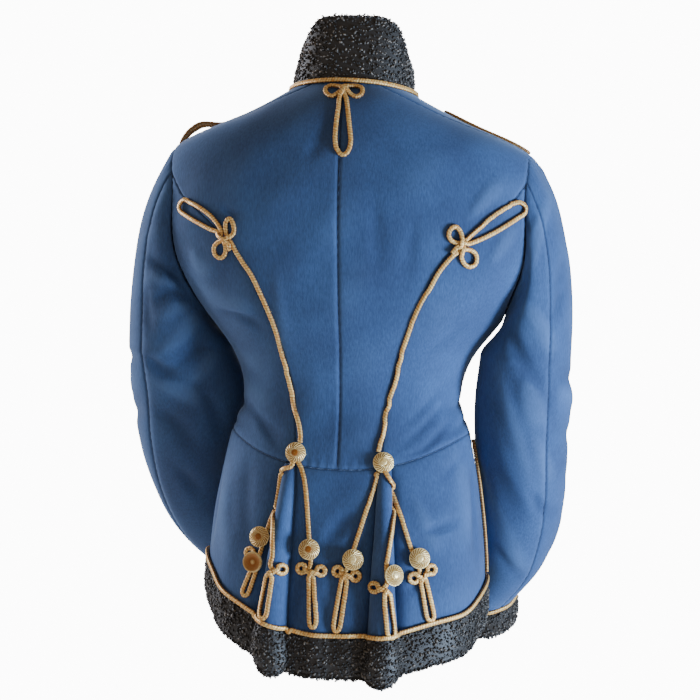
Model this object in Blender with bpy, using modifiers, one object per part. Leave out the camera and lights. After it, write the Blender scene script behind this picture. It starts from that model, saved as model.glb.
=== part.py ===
"""Hussar dolman in blue wool with black lambskin and gold cord, filled out as if worn.

Lengths in the tables are millimetres and angles are degrees. +Z is up, the back faces +Y and the
wearer's left is +X. The origin is the middle of the neck opening, level with the back neck seam.
"""
import math
from collections import namedtuple

import bmesh
import bpy
from mathutils import Quaternion, Vector
from mathutils.bvhtree import BVHTree

MM = 0.001

# Driving sizes
CLOTH = 2.5
FUR = 7.0
FUR_PROUD = 3.0
SEAM_GAP = 0.3
FRONT_GAP = 1.0
PAST_THE_GAP = Vector((2 * FRONT_GAP, 0, 0))
CORD_RADIUS = 2.7
CORD_GAP = 0.35
CORD_STEP = 12.0
LOOP_RADIUS = 5.8         # small loops of the trefoils, to the middle of the cord
LOOP_NEAR = 3.5           # how close they come to the knot
LOOP_LONGEST = 9.0
CLEAR_PASSES = 40         # passes that move a cord off the cloth
NECK_CORD_POINTS = 33
NECK_CORD_END = 176.0     # the neck cord stops short of the centre front
HEM_CORD_END = 178.5
BUTTON_RADIUS = 11.6
BUTTON_HEIGHT = 8.8
HEM_FUR_HEIGHT = 44.0
CUFF_FUR_LENGTH = 38.0
SECTION_POWER = 0.87      # roundness of a horizontal section, 1 for an ellipse
VIEW_TURN = 9.0           # cords on the back are laid as seen from this side of the centre back
LEAN = 0.0305             # the garment hangs a little askew: its middle drifts to the wearer's right
LEAN_END = -303.0         # by this slope below the neck, down to this height
COLLAR_LEAN = 0.08        # above the neck the collar leans back the other way
SHOULDER_TILT = 0.014     # the right shoulder hangs a little lower than the left one
TILT_FADE = 150.0         # the height over which that fades out, above LEAN_END
VIEW_MIDDLE = LEAN * LEAN_END
SHOULDER_CORD = (154, 48)  # the middle and half length of the loop on a shoulder

Ring = namedtuple("Ring", "name z_back z_side z_front half_width y_back y_front")
BODY_RINGS = [
    Ring("neck", 0, -6, -72, 69, 58, -62),
    Ring("yoke", -29, -35, -98, 122, 84, -88),
    Ring("shoulder", -76, -76, -128, 208, 101, -106),
    Ring("blade", -135, -130, -168, 224, 113, -119),
    Ring("chest", -200, -196, -216, 216, 115, -128),
    Ring("underarm", -268, -262, -266, 172, 109, -128),
    Ring("rib", -318, -310, -314, 136, 98, -121),
    Ring("waist", -366, -356, -360, 125, 89, -112),
    Ring("waist seam", -436, -395, -402, 137, 95, -112),
]
SHOULDER, UNDERARM, WAIST = 2, 5, 8
HEM_RING = Ring("hem", 0, 0, 0, 159, 120, -128)

COLLAR_RINGS = [
    Ring("seam", 1.4, -4.6, -70.4, 69.5, 58.5, -62.5),
    Ring("middle", 39, 11, -46, 69, 53, -60),
    Ring("top", 75, 25, -22, 66, 47, -56),
]

HemPoint = namedtuple("HemPoint", "angle z")
HEM_LINE = [
    HemPoint(-180, -566), HemPoint(-130, -562), HemPoint(-95, -563), HemPoint(-77, -576),
    HemPoint(-64, -594), HemPoint(-46, -600), HemPoint(-32, -609), HemPoint(-19, -619),
    HemPoint(-8, -617), HemPoint(2, -621), HemPoint(14, -615), HemPoint(22, -608),
    HemPoint(32, -597), HemPoint(50, -577), HemPoint(64, -554), HemPoint(83, -540),
    HemPoint(120, -548), HemPoint(180, -566),
]

SeamPoint = namedtuple("SeamPoint", "level x")
SIDE_BACK_SEAM = [
    SeamPoint(3.04, 188), SeamPoint(3.5, 151), SeamPoint(3.96, 119), SeamPoint(4.38, 101),
    SeamPoint(4.71, 90), SeamPoint(4.93, 83), SeamPoint(5.0, 81), SeamPoint(5.75, 67),
    SeamPoint(6.5, 57), SeamPoint(7.25, 51), SeamPoint(8.0, 47),
]
COLLAR_CROWN = 5.2        # how square the collar's top edge is; the neck seam is 2
SHOULDER_SEAM_NECK = 27.0
SHOULDER_SEAM_ARM = 84.0
ARMHOLE_LOW = 96.0
ARMHOLE_BACK = 27.0
ARMHOLE_FRONT = 18.0
ARMHOLE_ROWS = 10
SEAM_ROW = 4              # the side back seam leaves the armhole at this row
TIP_SHARE = 0.3           # where the side back's pointed top is cut off
SIDE_SEAM = 97.0
HIND_SEAM = 3             # columns of the sleeve at which its two seams run
FORE_SEAM = 14

BACK_COLUMNS = 6
SIDE_COLUMNS = 5
FRONT_COLUMNS = 8
PLEAT_COLUMNS = 8
SKIRT_STEPS = [0.2, 0.42, 0.62, 0.82, 1.0]

PLEAT_START = 0.015       # pleats begin just below the waist seam

Pleat = namedtuple("Pleat", "side in_waist in_hem out_waist out_hem high_waist high_hem")
PLEATS = [
    Pleat("left", 47, 49, 60, 79, 3, 17),
    Pleat("right", 47, 43, 60, 75, 3, 18),
]

Fold = namedtuple("Fold", "angle spread depth")
SKIRT_FOLDS = [
    Fold(3, 3.5, 4.0), Fold(-5, 3.0, 3.0), Fold(48, 8, 3.0), Fold(-50, 9, 2.5),
    Fold(118, 11, 4.0), Fold(-124, 10, 3.5), Fold(150, 9, 2.5), Fold(-156, 10, 3.0),
]

# Sleeves run from the armhole to the wrist: the middle of each section, its lean and its radii.
Arm = namedtuple("Arm", "name x y z across fore lean")
ARMS = {
    "left": [
        Arm("upper", 200, -20, -306, 62, 58, 8),
        Arm("above elbow", 191, -34, -350, 69, 58, 14),
        Arm("elbow", 194, -48, -398, 62, 55, 26),
        Arm("below elbow", 196, -72, -442, 53, 52, 36),
        Arm("forearm", 187, -100, -485, 49, 49, 43),
        Arm("lower forearm", 171, -129, -522, 44, 45, 46),
        Arm("wrist", 141, -162, -556, 40, 42, 48),
    ],
    "right": [
        Arm("upper", 207, -4, -306, 52, 57, 4),
        Arm("above elbow", 205, -18, -352, 55, 56, 10),
        Arm("elbow", 203, -38, -402, 54, 54, 18),
        Arm("below elbow", 204, -62, -450, 51, 51, 26),
        Arm("forearm", 199, -84, -499, 48, 48, 31),
        Arm("lower forearm", 185, -113, -548, 43, 44, 34),
        Arm("wrist", 154, -142, -590, 39, 41, 35),
    ],
}
CAP_STEPS = [0.0, 0.12, 0.3, 0.52, 0.76]

# Routes on the back, seen square on: across to the wearer's left, and height.
Trefoil = namedtuple("Trefoil", "knot tip width small_left small_right")
MAIN_ROUTES = {
    "left": [(149, -178), (143, -184), (134, -193), (124, -208), (111, -229), (96, -262),
             (81, -305), (66, -361), (58, -400)],
    "right": [(-115, -182), (-109, -188), (-98, -204), (-87, -222), (-69, -257), (-55, -297),
              (-46, -340), (-40, -385), (-37, -408)],
}
BACK_TREFOILS = {
    "left": Trefoil((150, -177), (200, -140), 12, (154, -191), (142, -167)),
    "right": Trefoil((-115, -181), (-183, -141), 12, (-106, -171), (-120, -195)),
}
NECK_TREFOIL = Trefoil((19, -6), (19, -91), 13, (30, -13), (8, -13))

SkirtCord = namedtuple("SkirtCord", "name route trefoil button")
SKIRT_CORDS = [
    SkirtCord("left_centre", [(56, -433), (50, -450), (46, -475), (44, -500), (41, -547)],
              Trefoil((40, -548), (36, -602), 8, (49, -543), (31, -545)), (41, -524)),
    SkirtCord("left_pleat", [(69, -436), (75, -446), (80, -470), (83, -500), (84, -550)],
              Trefoil((85, -551), (89, -594), 7.5, None, (75, -546)), (93, -541)),
    SkirtCord("left_side", [(92, -486), (95, -505), (99, -529)],
              Trefoil((100, -531), (112, -577), 8, (109, -527), None), (95, -514)),
    SkirtCord("right_centre", [(-30, -444), (-18, -480), (-5, -520), (1, -550)],
              Trefoil((2, -553), (9, -606), 8, (11, -548), (-8, -549)), (-6, -533)),
    SkirtCord("right_pleat", [(-42, -444), (-48, -460), (-48, -495), (-45, -535), (-44, -562)],
              Trefoil((-44, -564), (-49, -606), 8, (-34, -560), None), (-46, -547)),
    SkirtCord("right_side", [(-56, -466), (-62, -492), (-70, -520), (-80, -545)],
              Trefoil((-81, -547), (-92, -589), 8.5, (-72, -550), (-91, -541)), (-77, -530)),
]
WAIST_BUTTONS = {"left": (61, -419), "right": (-36, -427)}
FRONT_ROWS = [-112, -184, -256, -328, -396]
FRONT_BAR = (58, 13)

Finish = namedtuple("Finish", "colour roughness metallic")
FINISHES = {
    "cloth": Finish((0.055, 0.13, 0.33, 1), 0.9, 0.0),
    "fur": Finish((0.022, 0.02, 0.019, 1), 0.95, 0.0),
    "cord": Finish((0.64, 0.38, 0.13, 1), 0.45, 0.6),
    "button": Finish((0.82, 0.62, 0.27, 1), 0.3, 0.9),
}

cloth_faces = {"points": [], "faces": []}


def clear_scene():
    for item in list(bpy.data.objects):
        bpy.data.objects.remove(item)


def make_collections():
    """Return the collection for the garment and the one for the pieces joined into others."""
    parts = bpy.data.collections.new("hussar_dolman")
    tools = bpy.data.collections.new("joined_tools")
    for group in (parts, tools):
        bpy.context.scene.collection.children.link(group)
    return parts, tools


def finish_material(item, name, kind):
    """Give an object its own material."""
    look = FINISHES[kind]
    material = bpy.data.materials.new(name + "_" + kind)
    material.use_nodes = True
    shader = material.node_tree.nodes["Principled BSDF"]
    shader.inputs["Base Color"].default_value = look.colour
    shader.inputs["Roughness"].default_value = look.roughness
    shader.inputs["Metallic"].default_value = look.metallic
    item.data.materials.clear()
    item.data.materials.append(material)


def spline(values, place):
    """Read a smooth curve through equally spaced values."""
    index = min(max(int(math.floor(place)), 0), len(values) - 2)
    t = place - index
    p1, p2 = values[index], values[index + 1]
    p0 = values[index - 1] if index > 0 else 2 * p1 - p2
    p3 = values[index + 2] if index + 2 < len(values) else 2 * p2 - p1
    bend = (2 * p0 - 5 * p1 + 4 * p2 - p3) * t * t + (3 * p1 - p0 - 3 * p2 + p3) * t ** 3
    return 0.5 * (2 * p1 + (p2 - p0) * t + bend)


def read_table(rows, key, value, place):
    """Read a column of a table between its rows, eased so that no corner shows."""
    for low, high in zip(rows, rows[1:]):
        start, end = getattr(low, key), getattr(high, key)
        if place <= end:
            t = min(max((place - start) / (end - start), 0), 1)
            return getattr(low, value) * (1 - t) + getattr(high, value) * t
    return getattr(rows[-1], value)


def hem_height(angle):
    """Height of the hem cord, smoothed over a few degrees."""
    turned = (angle + 180) % 360 - 180
    total = 0.0
    for shift in (-6, -2, 2, 6):
        place = min(max(turned + shift, -180), 180)
        total += read_table(HEM_LINE, "angle", "z", place) / 4
    return total


def mix(a, b, t):
    return a * (1 - t) + b * t


def lean(point):
    """Shift a point with the garment, which hangs a little askew."""
    aside = LEAN * max(min(point.z, 0.0), LEAN_END) - COLLAR_LEAN * max(point.z, 0.0)
    fade = min(max((point.z - LEAN_END) / TILT_FADE, 0.0), 1.0)
    return point + Vector((aside, 0, SHOULDER_TILT * fade * point.x))


def ring_at(rings, level):
    """Return a section between two rings of a table."""
    fields = [spline([getattr(ring, name) for ring in rings], level)
              for name in ("z_back", "z_side", "z_front", "half_width", "y_back", "y_front")]
    return Ring("between", *fields)


def ring_point(ring, angle, z=None, crown=2.0):
    """Return a point of a section; the angle is zero at the centre back."""
    turn = math.radians(angle)
    s, c = math.sin(turn), math.cos(turn)
    x = math.copysign(abs(s) ** SECTION_POWER, s) * ring.half_width
    depth = ring.y_back if c > 0 else ring.y_front
    y = depth * abs(c) ** SECTION_POWER
    if z is None:
        z = mix(ring.z_side, ring.z_back if c > 0 else ring.z_front, 1 - abs(s) ** crown)
    return Vector((x, y, z))


def skirt_ring(drop):
    """Return the skirt's section at a share of its length below the waist seam."""
    top = BODY_RINGS[WAIST]
    ease = 1 - (1 - drop) ** 1.6
    return Ring("skirt", 0, 0, 0, mix(top.half_width, HEM_RING.half_width, ease),
                mix(top.y_back, HEM_RING.y_back, ease), mix(top.y_front, HEM_RING.y_front, ease))


def fold_depth(angle, drop):
    """How far the soft folds of the skirt stand out, growing towards the hem."""
    total = 0.0
    for fold in SKIRT_FOLDS:
        apart = ((angle - fold.angle + 180) % 360 - 180) / fold.spread
        total += fold.depth * math.exp(-apart * apart)
    return total * drop * drop


def coat_point(angle, level):
    """Return a point of the coat; levels past the waist seam run down the skirt."""
    if level <= WAIST:
        return lean(ring_point(ring_at(BODY_RINGS, level), angle))
    drop = level - WAIST
    top_z = ring_point(BODY_RINGS[WAIST], angle).z
    ring = skirt_ring(min(drop, 1.0))
    flat = ring_point(ring, angle, 0)
    out = Vector((flat.x / ring.half_width, flat.y / HEM_RING.y_back, 0)).normalized()
    point = flat + out * fold_depth(angle, min(drop, 1.0))
    point.z = mix(top_z, hem_height(angle), drop) if drop <= 1 else hem_height(angle)
    if drop > 1:
        point.z -= (drop - 1) * HEM_FUR_HEIGHT
    return lean(point)


def coat_normal(angle, level):
    """Return the outward direction of the coat's surface."""
    step, rise = 1.5, 0.04
    across = coat_point(angle + step, level) - coat_point(angle - step, level)
    low = max(level - rise, 0)
    down = coat_point(angle, level + rise) - coat_point(angle, low)
    normal = across.cross(down).normalized()
    flat = coat_point(angle, level)
    if normal.x * flat.x + normal.y * flat.y < 0:
        normal = -normal
    return normal


def angle_at(x, level):
    """Return the angle at which the coat is x from the middle."""
    ring = ring_at(BODY_RINGS, level) if level <= WAIST else skirt_ring(level - WAIST)
    share = min(abs(x) / ring.half_width, 1.0)
    return math.degrees(math.asin(share ** (1 / SECTION_POWER)))


def armhole_edges(share_turn):
    """Return the level and the back and front angles of the armhole, from its top to its bottom."""
    turn = math.pi * share_turn
    share = (1 - math.cos(turn)) / 2
    middle = mix(SHOULDER_SEAM_ARM, ARMHOLE_LOW, share)
    opening = math.sin(turn) ** 0.9 if 0 < share_turn < 1 else 0.0
    level = mix(SHOULDER, UNDERARM, share)
    return level, middle - ARMHOLE_BACK * opening, middle + ARMHOLE_FRONT * opening


def back_limit(level, row):
    """Return the outer edge of the back panel at a level."""
    if level < SHOULDER:
        return mix(SHOULDER_SEAM_NECK, SHOULDER_SEAM_ARM, level / SHOULDER)
    if row is not None and row < SEAM_ROW:
        return armhole_edges(row / ARMHOLE_ROWS)[1]
    return angle_at(read_table(SIDE_BACK_SEAM, "level", "x", level), level)


def levels():
    """Return each row of the body panels as its level and its row in the armhole."""
    rows = [(SHOULDER * k / 4, None) for k in range(4)]
    for k in range(ARMHOLE_ROWS + 1):
        rows.append((armhole_edges(k / ARMHOLE_ROWS)[0], k))
    rows += [(mix(UNDERARM, WAIST, k / 4), None) for k in range(1, 5)]
    return rows


def panel_grid(rows, sign):
    """Return outer and inner points of a panel from rows of (level, angles)."""
    outer, inner = [], []
    for level, angles in rows:
        line = [coat_point(sign * angle, level) for angle in angles]
        back = []
        for point, angle in zip(line, angles):
            normal = coat_normal(sign * angle, level)
            if level == WAIST + 1:
                normal = Vector((normal.x, normal.y, 0)).normalized()
            back.append(point - normal * CLOTH)
        outer.append(line)
        inner.append(back)
    return outer, inner


def spread(start, end, count):
    return [mix(start, end, k / count) for k in range(count + 1)]


def trim(outer, inner, sides, gap):
    """Draw the named sides of a panel in by half the gap between two pieces."""
    half = gap / 2
    shifts = []
    if "top" in sides:
        shifts += [(0, j, 1, j) for j in range(len(outer[0]))]
    if "bottom" in sides:
        shifts += [(len(outer) - 1, j, len(outer) - 2, j) for j in range(len(outer[0]))]
    if "start" in sides:
        shifts += [(i, 0, i, 1) for i in range(len(outer))]
    if "end" in sides:
        last = len(outer[0]) - 1
        shifts += [(i, last, i, last - 1) for i in range(len(outer))]
    moves = {}
    for i, j, i2, j2 in shifts:
        away = (outer[i2][j2] - outer[i][j]).normalized() * half
        moves[(i, j)] = moves.get((i, j), Vector((0, 0, 0))) + away
    for (i, j), move in moves.items():
        outer[i][j] = outer[i][j] + move
        inner[i][j] = inner[i][j] + move


def wall(name, kind, outer, inner, closed=False):
    """Make a cloth wall between an outer and an inner grid of points; it may run all round."""
    rows, columns = len(outer), len(outer[0])
    points = [p for line in outer for p in line] + [p for line in inner for p in line]
    shift = rows * columns
    faces = []
    last = columns if closed else columns - 1
    for i in range(rows - 1):
        for j in range(last):
            k = (j + 1) % columns
            a, b, c, d = i * columns + j, i * columns + k, (i + 1) * columns + k, (i + 1) * columns + j
            faces.append((a, b, c, d))
            faces.append((a + shift, d + shift, c + shift, b + shift))
    for i, turn in ((0, True), (rows - 1, False)):
        for j in range(last):
            k = (j + 1) % columns
            a, b = i * columns + j, i * columns + k
            faces.append((b, a, a + shift, b + shift) if turn else (a, b, b + shift, a + shift))
    if not closed:
        for j, turn in ((0, False), (columns - 1, True)):
            for i in range(rows - 1):
                a, b = i * columns + j, (i + 1) * columns + j
                faces.append((b, a, a + shift, b + shift) if turn else (a, b, b + shift, a + shift))
    mesh = bpy.data.meshes.new(name)
    mesh.from_pydata([p * MM for p in points], [], faces)
    work = bmesh.new()
    work.from_mesh(mesh)
    bmesh.ops.recalc_face_normals(work, faces=work.faces)
    if work.calc_volume(signed=True) < 0:
        bmesh.ops.reverse_faces(work, faces=work.faces)
    bmesh.ops.triangulate(work, faces=work.faces)
    work.to_mesh(mesh)
    work.free()
    mesh.shade_smooth()
    mesh.set_sharp_from_angle(angle=math.radians(50))
    item = bpy.data.objects.new(name, mesh)
    PARTS.objects.link(item)
    finish_material(item, name, kind)
    base = len(cloth_faces["points"])
    cloth_faces["points"] += [vertex.co / MM for vertex in mesh.vertices]
    cloth_faces["faces"] += [tuple(base + index for index in face.vertices) for face in mesh.polygons]
    return item


def back_panel(side, sign):
    rows = []
    for level, row in levels():
        rows.append((level, spread(0, back_limit(level, row), BACK_COLUMNS)))
    outer, inner = panel_grid(rows, sign)
    trim(outer, inner, ("top", "bottom", "start", "end"), SEAM_GAP)
    wall("back_" + side, "cloth", outer, inner)


def side_angles(level, start, end):
    """Return the side back's columns: the first is as wide as the pleat below it."""
    width = angle_at(60, WAIST) - angle_at(47, WAIST)
    whole = angle_at(47, WAIST)
    first = mix(start, end, width / (SIDE_SEAM - whole))
    return [start] + spread(first, end, SIDE_COLUMNS - 1)


def side_back_panel(side, sign):
    rows = []
    for level, row in levels():
        if row is not None and row >= SEAM_ROW:
            rows.append((level, side_angles(level, back_limit(level, row),
                                            armhole_edges(row / ARMHOLE_ROWS)[1])))
        elif row is None and level > UNDERARM:
            rows.append((level, side_angles(level, back_limit(level, row), SIDE_SEAM)))
    outer, inner = panel_grid(rows, sign)
    level, corner, _ = armhole_edges((SEAM_ROW - 1) / ARMHOLE_ROWS)
    tip_outer, tip_inner = panel_grid([(level, [corner])], sign)
    outer.insert(0, [mix(tip_outer[0][0], point, TIP_SHARE) for point in outer[0]])
    inner.insert(0, [mix(tip_inner[0][0], point, TIP_SHARE) for point in inner[0]])
    trim(outer, inner, ("top", "bottom", "start", "end"), SEAM_GAP)
    wall("side_back_" + side, "cloth", outer, inner)


def front_panel(side, sign):
    """The front is cut in one from the shoulder to the hem."""
    rows = []
    for level, row in levels():
        if level < SHOULDER:
            start = back_limit(level, row)
        elif row is not None:
            start = armhole_edges(row / ARMHOLE_ROWS)[2]
        else:
            start = SIDE_SEAM
        rows.append((level, spread(start, 180, FRONT_COLUMNS)))
    rows += [(WAIST + drop, spread(SIDE_SEAM, 180, FRONT_COLUMNS)) for drop in SKIRT_STEPS]
    outer, inner = panel_grid(rows, sign)
    trim(outer, inner, ("top", "bottom", "start"), SEAM_GAP)
    trim(outer, inner, ("end",), FRONT_GAP)
    wall("front_" + side, "cloth", outer, inner)


def pleat_edges(pleat, drop):
    """Return the angles of a pleat's inner and outer edge at a share of the skirt's length."""
    inside = mix(pleat.in_waist, pleat.in_hem, drop)
    outside = mix(pleat.out_waist, pleat.out_hem, drop)
    return angle_at(inside, WAIST + drop), angle_at(outside, WAIST + drop)


def skirt_panels():
    drops = [0.0] + SKIRT_STEPS
    rows = []
    for drop in drops:
        left, right = (pleat_edges(pleat, drop)[0] for pleat in PLEATS)
        angles = spread(-right, 0, BACK_COLUMNS) + spread(0, left, BACK_COLUMNS)[1:]
        rows.append((WAIST + drop, angles))
    outer, inner = panel_grid(rows, 1)
    trim(outer, inner, ("top", "bottom", "start", "end"), SEAM_GAP)
    wall("skirt_back", "cloth", outer, inner)
    for pleat, sign in zip(PLEATS, (1, -1)):
        rows = [(WAIST + drop, spread(pleat_edges(pleat, drop)[1], SIDE_SEAM, SIDE_COLUMNS - 1))
                for drop in drops]
        outer, inner = panel_grid(rows, sign)
        trim(outer, inner, ("top", "bottom", "start", "end"), SEAM_GAP)
        wall("skirt_side_" + pleat.side, "cloth", outer, inner)


def pleat_line(pleat, sign, drop, fall, proud):
    """Return one rounded section across a pleat, standing out from the skirt."""
    inside, outside = pleat_edges(pleat, drop)
    level = WAIST + drop + fall
    middle = sign * (inside + outside) / 2
    out = coat_normal(middle, WAIST + drop)
    out = Vector((out.x, out.y, 0)).normalized()
    high = mix(pleat.high_waist, pleat.high_hem, min(drop * 1.6, 1.0)) + proud
    line = []
    for k in range(PLEAT_COLUMNS + 1):
        turn = math.pi * k / PLEAT_COLUMNS
        share = (1 - math.cos(turn)) / 2
        base = coat_point(sign * mix(inside, outside, share), level)
        line.append(base + out * high * math.sin(turn))
    return line


def inward(grid, thickness, closed=False, level=False):
    """Return a grid drawn in by the wall's thickness, along its normals or level with the floor."""
    rows, columns = len(grid), len(grid[0])
    centre = sum((p for line in grid for p in line), Vector()) / (rows * columns)
    sides = []
    for i in range(rows):
        line = []
        for j in range(columns):
            low, high = max(i - 1, 0), min(i + 1, rows - 1)
            if closed:
                left, right = (j - 1) % columns, (j + 1) % columns
            else:
                left, right = max(j - 1, 0), min(j + 1, columns - 1)
            along = grid[high][j] - grid[low][j]
            across = grid[i][right] - grid[i][left]
            normal = across.cross(along)
            if level:
                normal.z = 0
            line.append(normal.normalized())
        sides.append(line)
    tally = sum((grid[i][j] - centre).dot(sides[i][j]) for i in range(rows) for j in range(columns))
    turn = 1 if tally > 0 else -1
    return [[grid[i][j] - sides[i][j] * thickness * turn for j in range(columns)]
            for i in range(rows)]


def pleats():
    for pleat, sign in zip(PLEATS, (1, -1)):
        outer = [pleat_line(pleat, sign, drop, 0, 0) for drop in [PLEAT_START, 0.08] + SKIRT_STEPS]
        inner = inward(outer, CLOTH, level=True)
        trim(outer, inner, ("top", "bottom", "start", "end"), SEAM_GAP)
        wall("pleat_" + pleat.side, "cloth", outer, inner)


def fur_band(name, angles, sign):
    """A strip of lambskin below the hem cord, a little proud of the cloth."""
    outer, inner = [], []
    for fall, extra in ((0.0, 0.0), (0.25, 1.6), (0.75, 1.8), (1.0, -1.0)):
        line = []
        back = []
        for angle in angles:
            out = coat_normal(sign * angle, WAIST + 1)
            out = Vector((out.x, out.y, 0)).normalized()
            point = coat_point(sign * angle, WAIST + 1 + fall)
            line.append(point + out * (FUR_PROUD + extra))
            back.append(point + out * (FUR_PROUD + extra * 0.3 - FUR))
        outer.append(line)
        inner.append(back)
    trim(outer, inner, ("top", "start"), SEAM_GAP)
    trim(outer, inner, ("end",), SEAM_GAP if name == "fur_hem_back" else FRONT_GAP)
    wall(name, "fur", outer, inner)


def hem_fur():
    (left_in, left_out), (right_in, right_out) = (pleat_edges(pleat, 1) for pleat in PLEATS)
    middle = spread(-right_in, 0, BACK_COLUMNS) + spread(0, left_in, BACK_COLUMNS)[1:]
    fur_band("fur_hem_back", middle, 1)
    for side, sign, start in (("left", 1, left_out), ("right", -1, right_out)):
        columns = spread(start, SIDE_SEAM, SIDE_COLUMNS - 1) + spread(SIDE_SEAM, 180, FRONT_COLUMNS)[1:]
        fur_band("fur_hem_" + side, columns, sign)
    for pleat, sign in zip(PLEATS, (1, -1)):
        falls = ((0.0, FUR_PROUD), (0.25, FUR_PROUD + 1.5), (0.75, FUR_PROUD + 1.5), (1.0, 1.0))
        outer = [pleat_line(pleat, sign, 1, fall, proud) for fall, proud in falls]
        drop = Vector((0, 0, -4))
        outer[-1] = [p + drop * math.sin(math.pi * k / PLEAT_COLUMNS) for k, p in enumerate(outer[-1])]
        inner = inward(outer, FUR * 0.6, level=True)
        trim(outer, inner, ("start", "end"), 2 * FUR_PROUD + SEAM_GAP)
        lower = Vector((0, 0, -CORD_GAP * 4))
        outer[0] = [point + lower for point in outer[0]]
        inner[0] = [point + lower for point in inner[0]]
        wall("fur_pleat_" + pleat.side, "fur", outer, inner)


def collar():
    """A tall stand of lambskin, highest at the back, open at the front."""
    back = spread(0, SHOULDER_SEAM_NECK, BACK_COLUMNS)
    front = spread(SHOULDER_SEAM_NECK, 178, FRONT_COLUMNS)[1:]
    half = back[1:] + front
    angles = [-angle for angle in reversed(half)] + [0] + half
    outer, inner = [], []
    for place in (0.0, 0.6, 1.3, 2.0):
        ring = ring_at(COLLAR_RINGS, place)
        crown = mix(2.0, COLLAR_CROWN, place / 2)
        line = [lean(ring_point(ring, angle, crown=crown)) for angle in angles]
        outer.append(line)
        inner.append([p - Vector((p.x, p.y, 0)).normalized() * (FUR * 0.85) for p in line])
    outer[-1] = [mix(p, q, 0.15) for p, q in zip(outer[-1], inner[-1])]
    wall("collar", "fur", outer, inner)


def armhole_ring(sign, surface=coat_point):
    """Return the armhole's edge, from its top round the back to the bottom and up the front."""
    ring = []
    for k in range(2 * ARMHOLE_ROWS):
        share = k / ARMHOLE_ROWS
        if share <= 1:
            level, back, _ = armhole_edges(share)
            ring.append(surface(sign * back, level))
        else:
            level, _, front = armhole_edges(2 - share)
            ring.append(surface(sign * front, level))
    return ring


def arm_section(arm, sign):
    """Return a section of the sleeve; it faces down the arm, which leans forward."""
    lean = math.radians(arm.lean)
    fore = Vector((0, math.cos(lean), -math.sin(lean)))
    centre = Vector((arm.x * sign, arm.y, arm.z))
    section = []
    for k in range(2 * ARMHOLE_ROWS):
        turn = math.pi * k / ARMHOLE_ROWS
        section.append(centre + Vector((sign, 0, 0)) * arm.across * math.cos(turn)
                       + fore * arm.fore * math.sin(turn))
    return section


def sleeve_grid(side, sign):
    """Return the sleeve's rows: the cap flows from the armhole into the arm."""
    start = armhole_ring(sign)
    arms = [arm_section(arm, sign) for arm in ARMS[side]]
    rows = []
    for step in CAP_STEPS:
        line = []
        for k, (a, e) in enumerate(zip(start, arms[0])):
            turn = math.pi * k / ARMHOLE_ROWS
            leave = Vector((sign * (0.39 + 0.2 * math.cos(turn)), 0.1 * math.sin(turn),
                            0.08 * math.cos(turn) - 0.9)).normalized()
            reach = (e - a).length
            t = step
            line.append(a * (2 * t ** 3 - 3 * t * t + 1) + leave * reach * (t ** 3 - 2 * t * t + t)
                        + e * (3 * t * t - 2 * t ** 3) + Vector((0, 0, -reach)) * (t ** 3 - t * t))
        rows.append(line)
    return rows + arms


def mitred_head(outer, inner, sign):
    """Return a sleeve head's inner edge, turned over its top to lie against the shoulder's."""
    edge = []
    for k, normal in enumerate(armhole_ring(sign, coat_normal)):
        share = max(math.cos(math.pi * k / ARMHOLE_ROWS), 0.0) ** 0.5
        edge.append(mix(inner[k], outer[k] - normal * CLOTH, share))
    return edge


def sleeves():
    """Each sleeve has a top and an under piece, and ends in a lambskin cuff."""
    wrists = {}
    for side, sign in (("left", 1), ("right", -1)):
        outer = sleeve_grid(side, sign)
        inner = inward(outer, CLOTH, closed=True)
        inner[0] = mitred_head(outer[0], inner[0], sign)
        middle = sum(outer[-1], Vector()) / len(outer[-1])
        inner[-1] = [p + (middle - p).normalized() * CLOTH for p in outer[-1]]
        count = 2 * ARMHOLE_ROWS
        pieces = (("sleeve_under_", list(range(HIND_SEAM, FORE_SEAM + 1))),
                  ("sleeve_top_", [k % count for k in range(FORE_SEAM, HIND_SEAM + count + 1)]))
        for name, columns in pieces:
            piece_outer = [[line[k].copy() for k in columns] for line in outer]
            piece_inner = [[line[k].copy() for k in columns] for line in inner]
            trim(piece_outer, piece_inner, ("top", "bottom", "start", "end"), SEAM_GAP)
            wall(name + side, "cloth", piece_outer, piece_inner)
        wrists[side] = cuff(side, sign, outer)
    return wrists


def cuff(side, sign, rows):
    """Make the fur cuff and return the wrist's middle and direction."""
    wrist = rows[-1]
    centre = sum(wrist, Vector()) / len(wrist)
    before = sum(rows[-2], Vector()) / len(wrist)
    along = (wrist[0] - centre).cross(wrist[ARMHOLE_ROWS // 2] - centre).normalized()
    if along.dot(centre - before) < 0:
        along = -along
    outer, inner = [], []
    for fall, proud in ((0.0, 3.0), (0.3, 4.4), (0.8, 4.4), (1.0, 2.0)):
        shift = along * (CUFF_FUR_LENGTH * fall + SEAM_GAP)
        line = [centre + (p - centre) * (1 + proud / 40) + shift for p in wrist[::2]]
        back = [centre + (p - centre) * (1 + (proud * 0.5 - 4.5) / 40) + shift for p in wrist[::2]]
        outer.append(line)
        inner.append(back)
    wall("cuff_" + side, "fur", outer, inner, closed=True)
    return centre, along, wrist


def build_tree():
    """Return a search tree over every cloth and fur wall."""
    return BVHTree.FromPolygons(cloth_faces["points"], cloth_faces["faces"])


def build_cord_tree():
    """Return a search tree over every cord."""
    bpy.context.view_layer.update()
    graph = bpy.context.evaluated_depsgraph_get()
    points, faces = [], []
    for item in PARTS.objects:
        if item.name.startswith("cord_"):
            mesh = item.evaluated_get(graph).to_mesh()
            base = len(points)
            points += [vertex.co / MM for vertex in mesh.vertices]
            faces += [tuple(base + index for index in face.vertices) for face in mesh.polygons]
            item.evaluated_get(graph).to_mesh_clear()
    return BVHTree.FromPolygons(points, faces)


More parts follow.
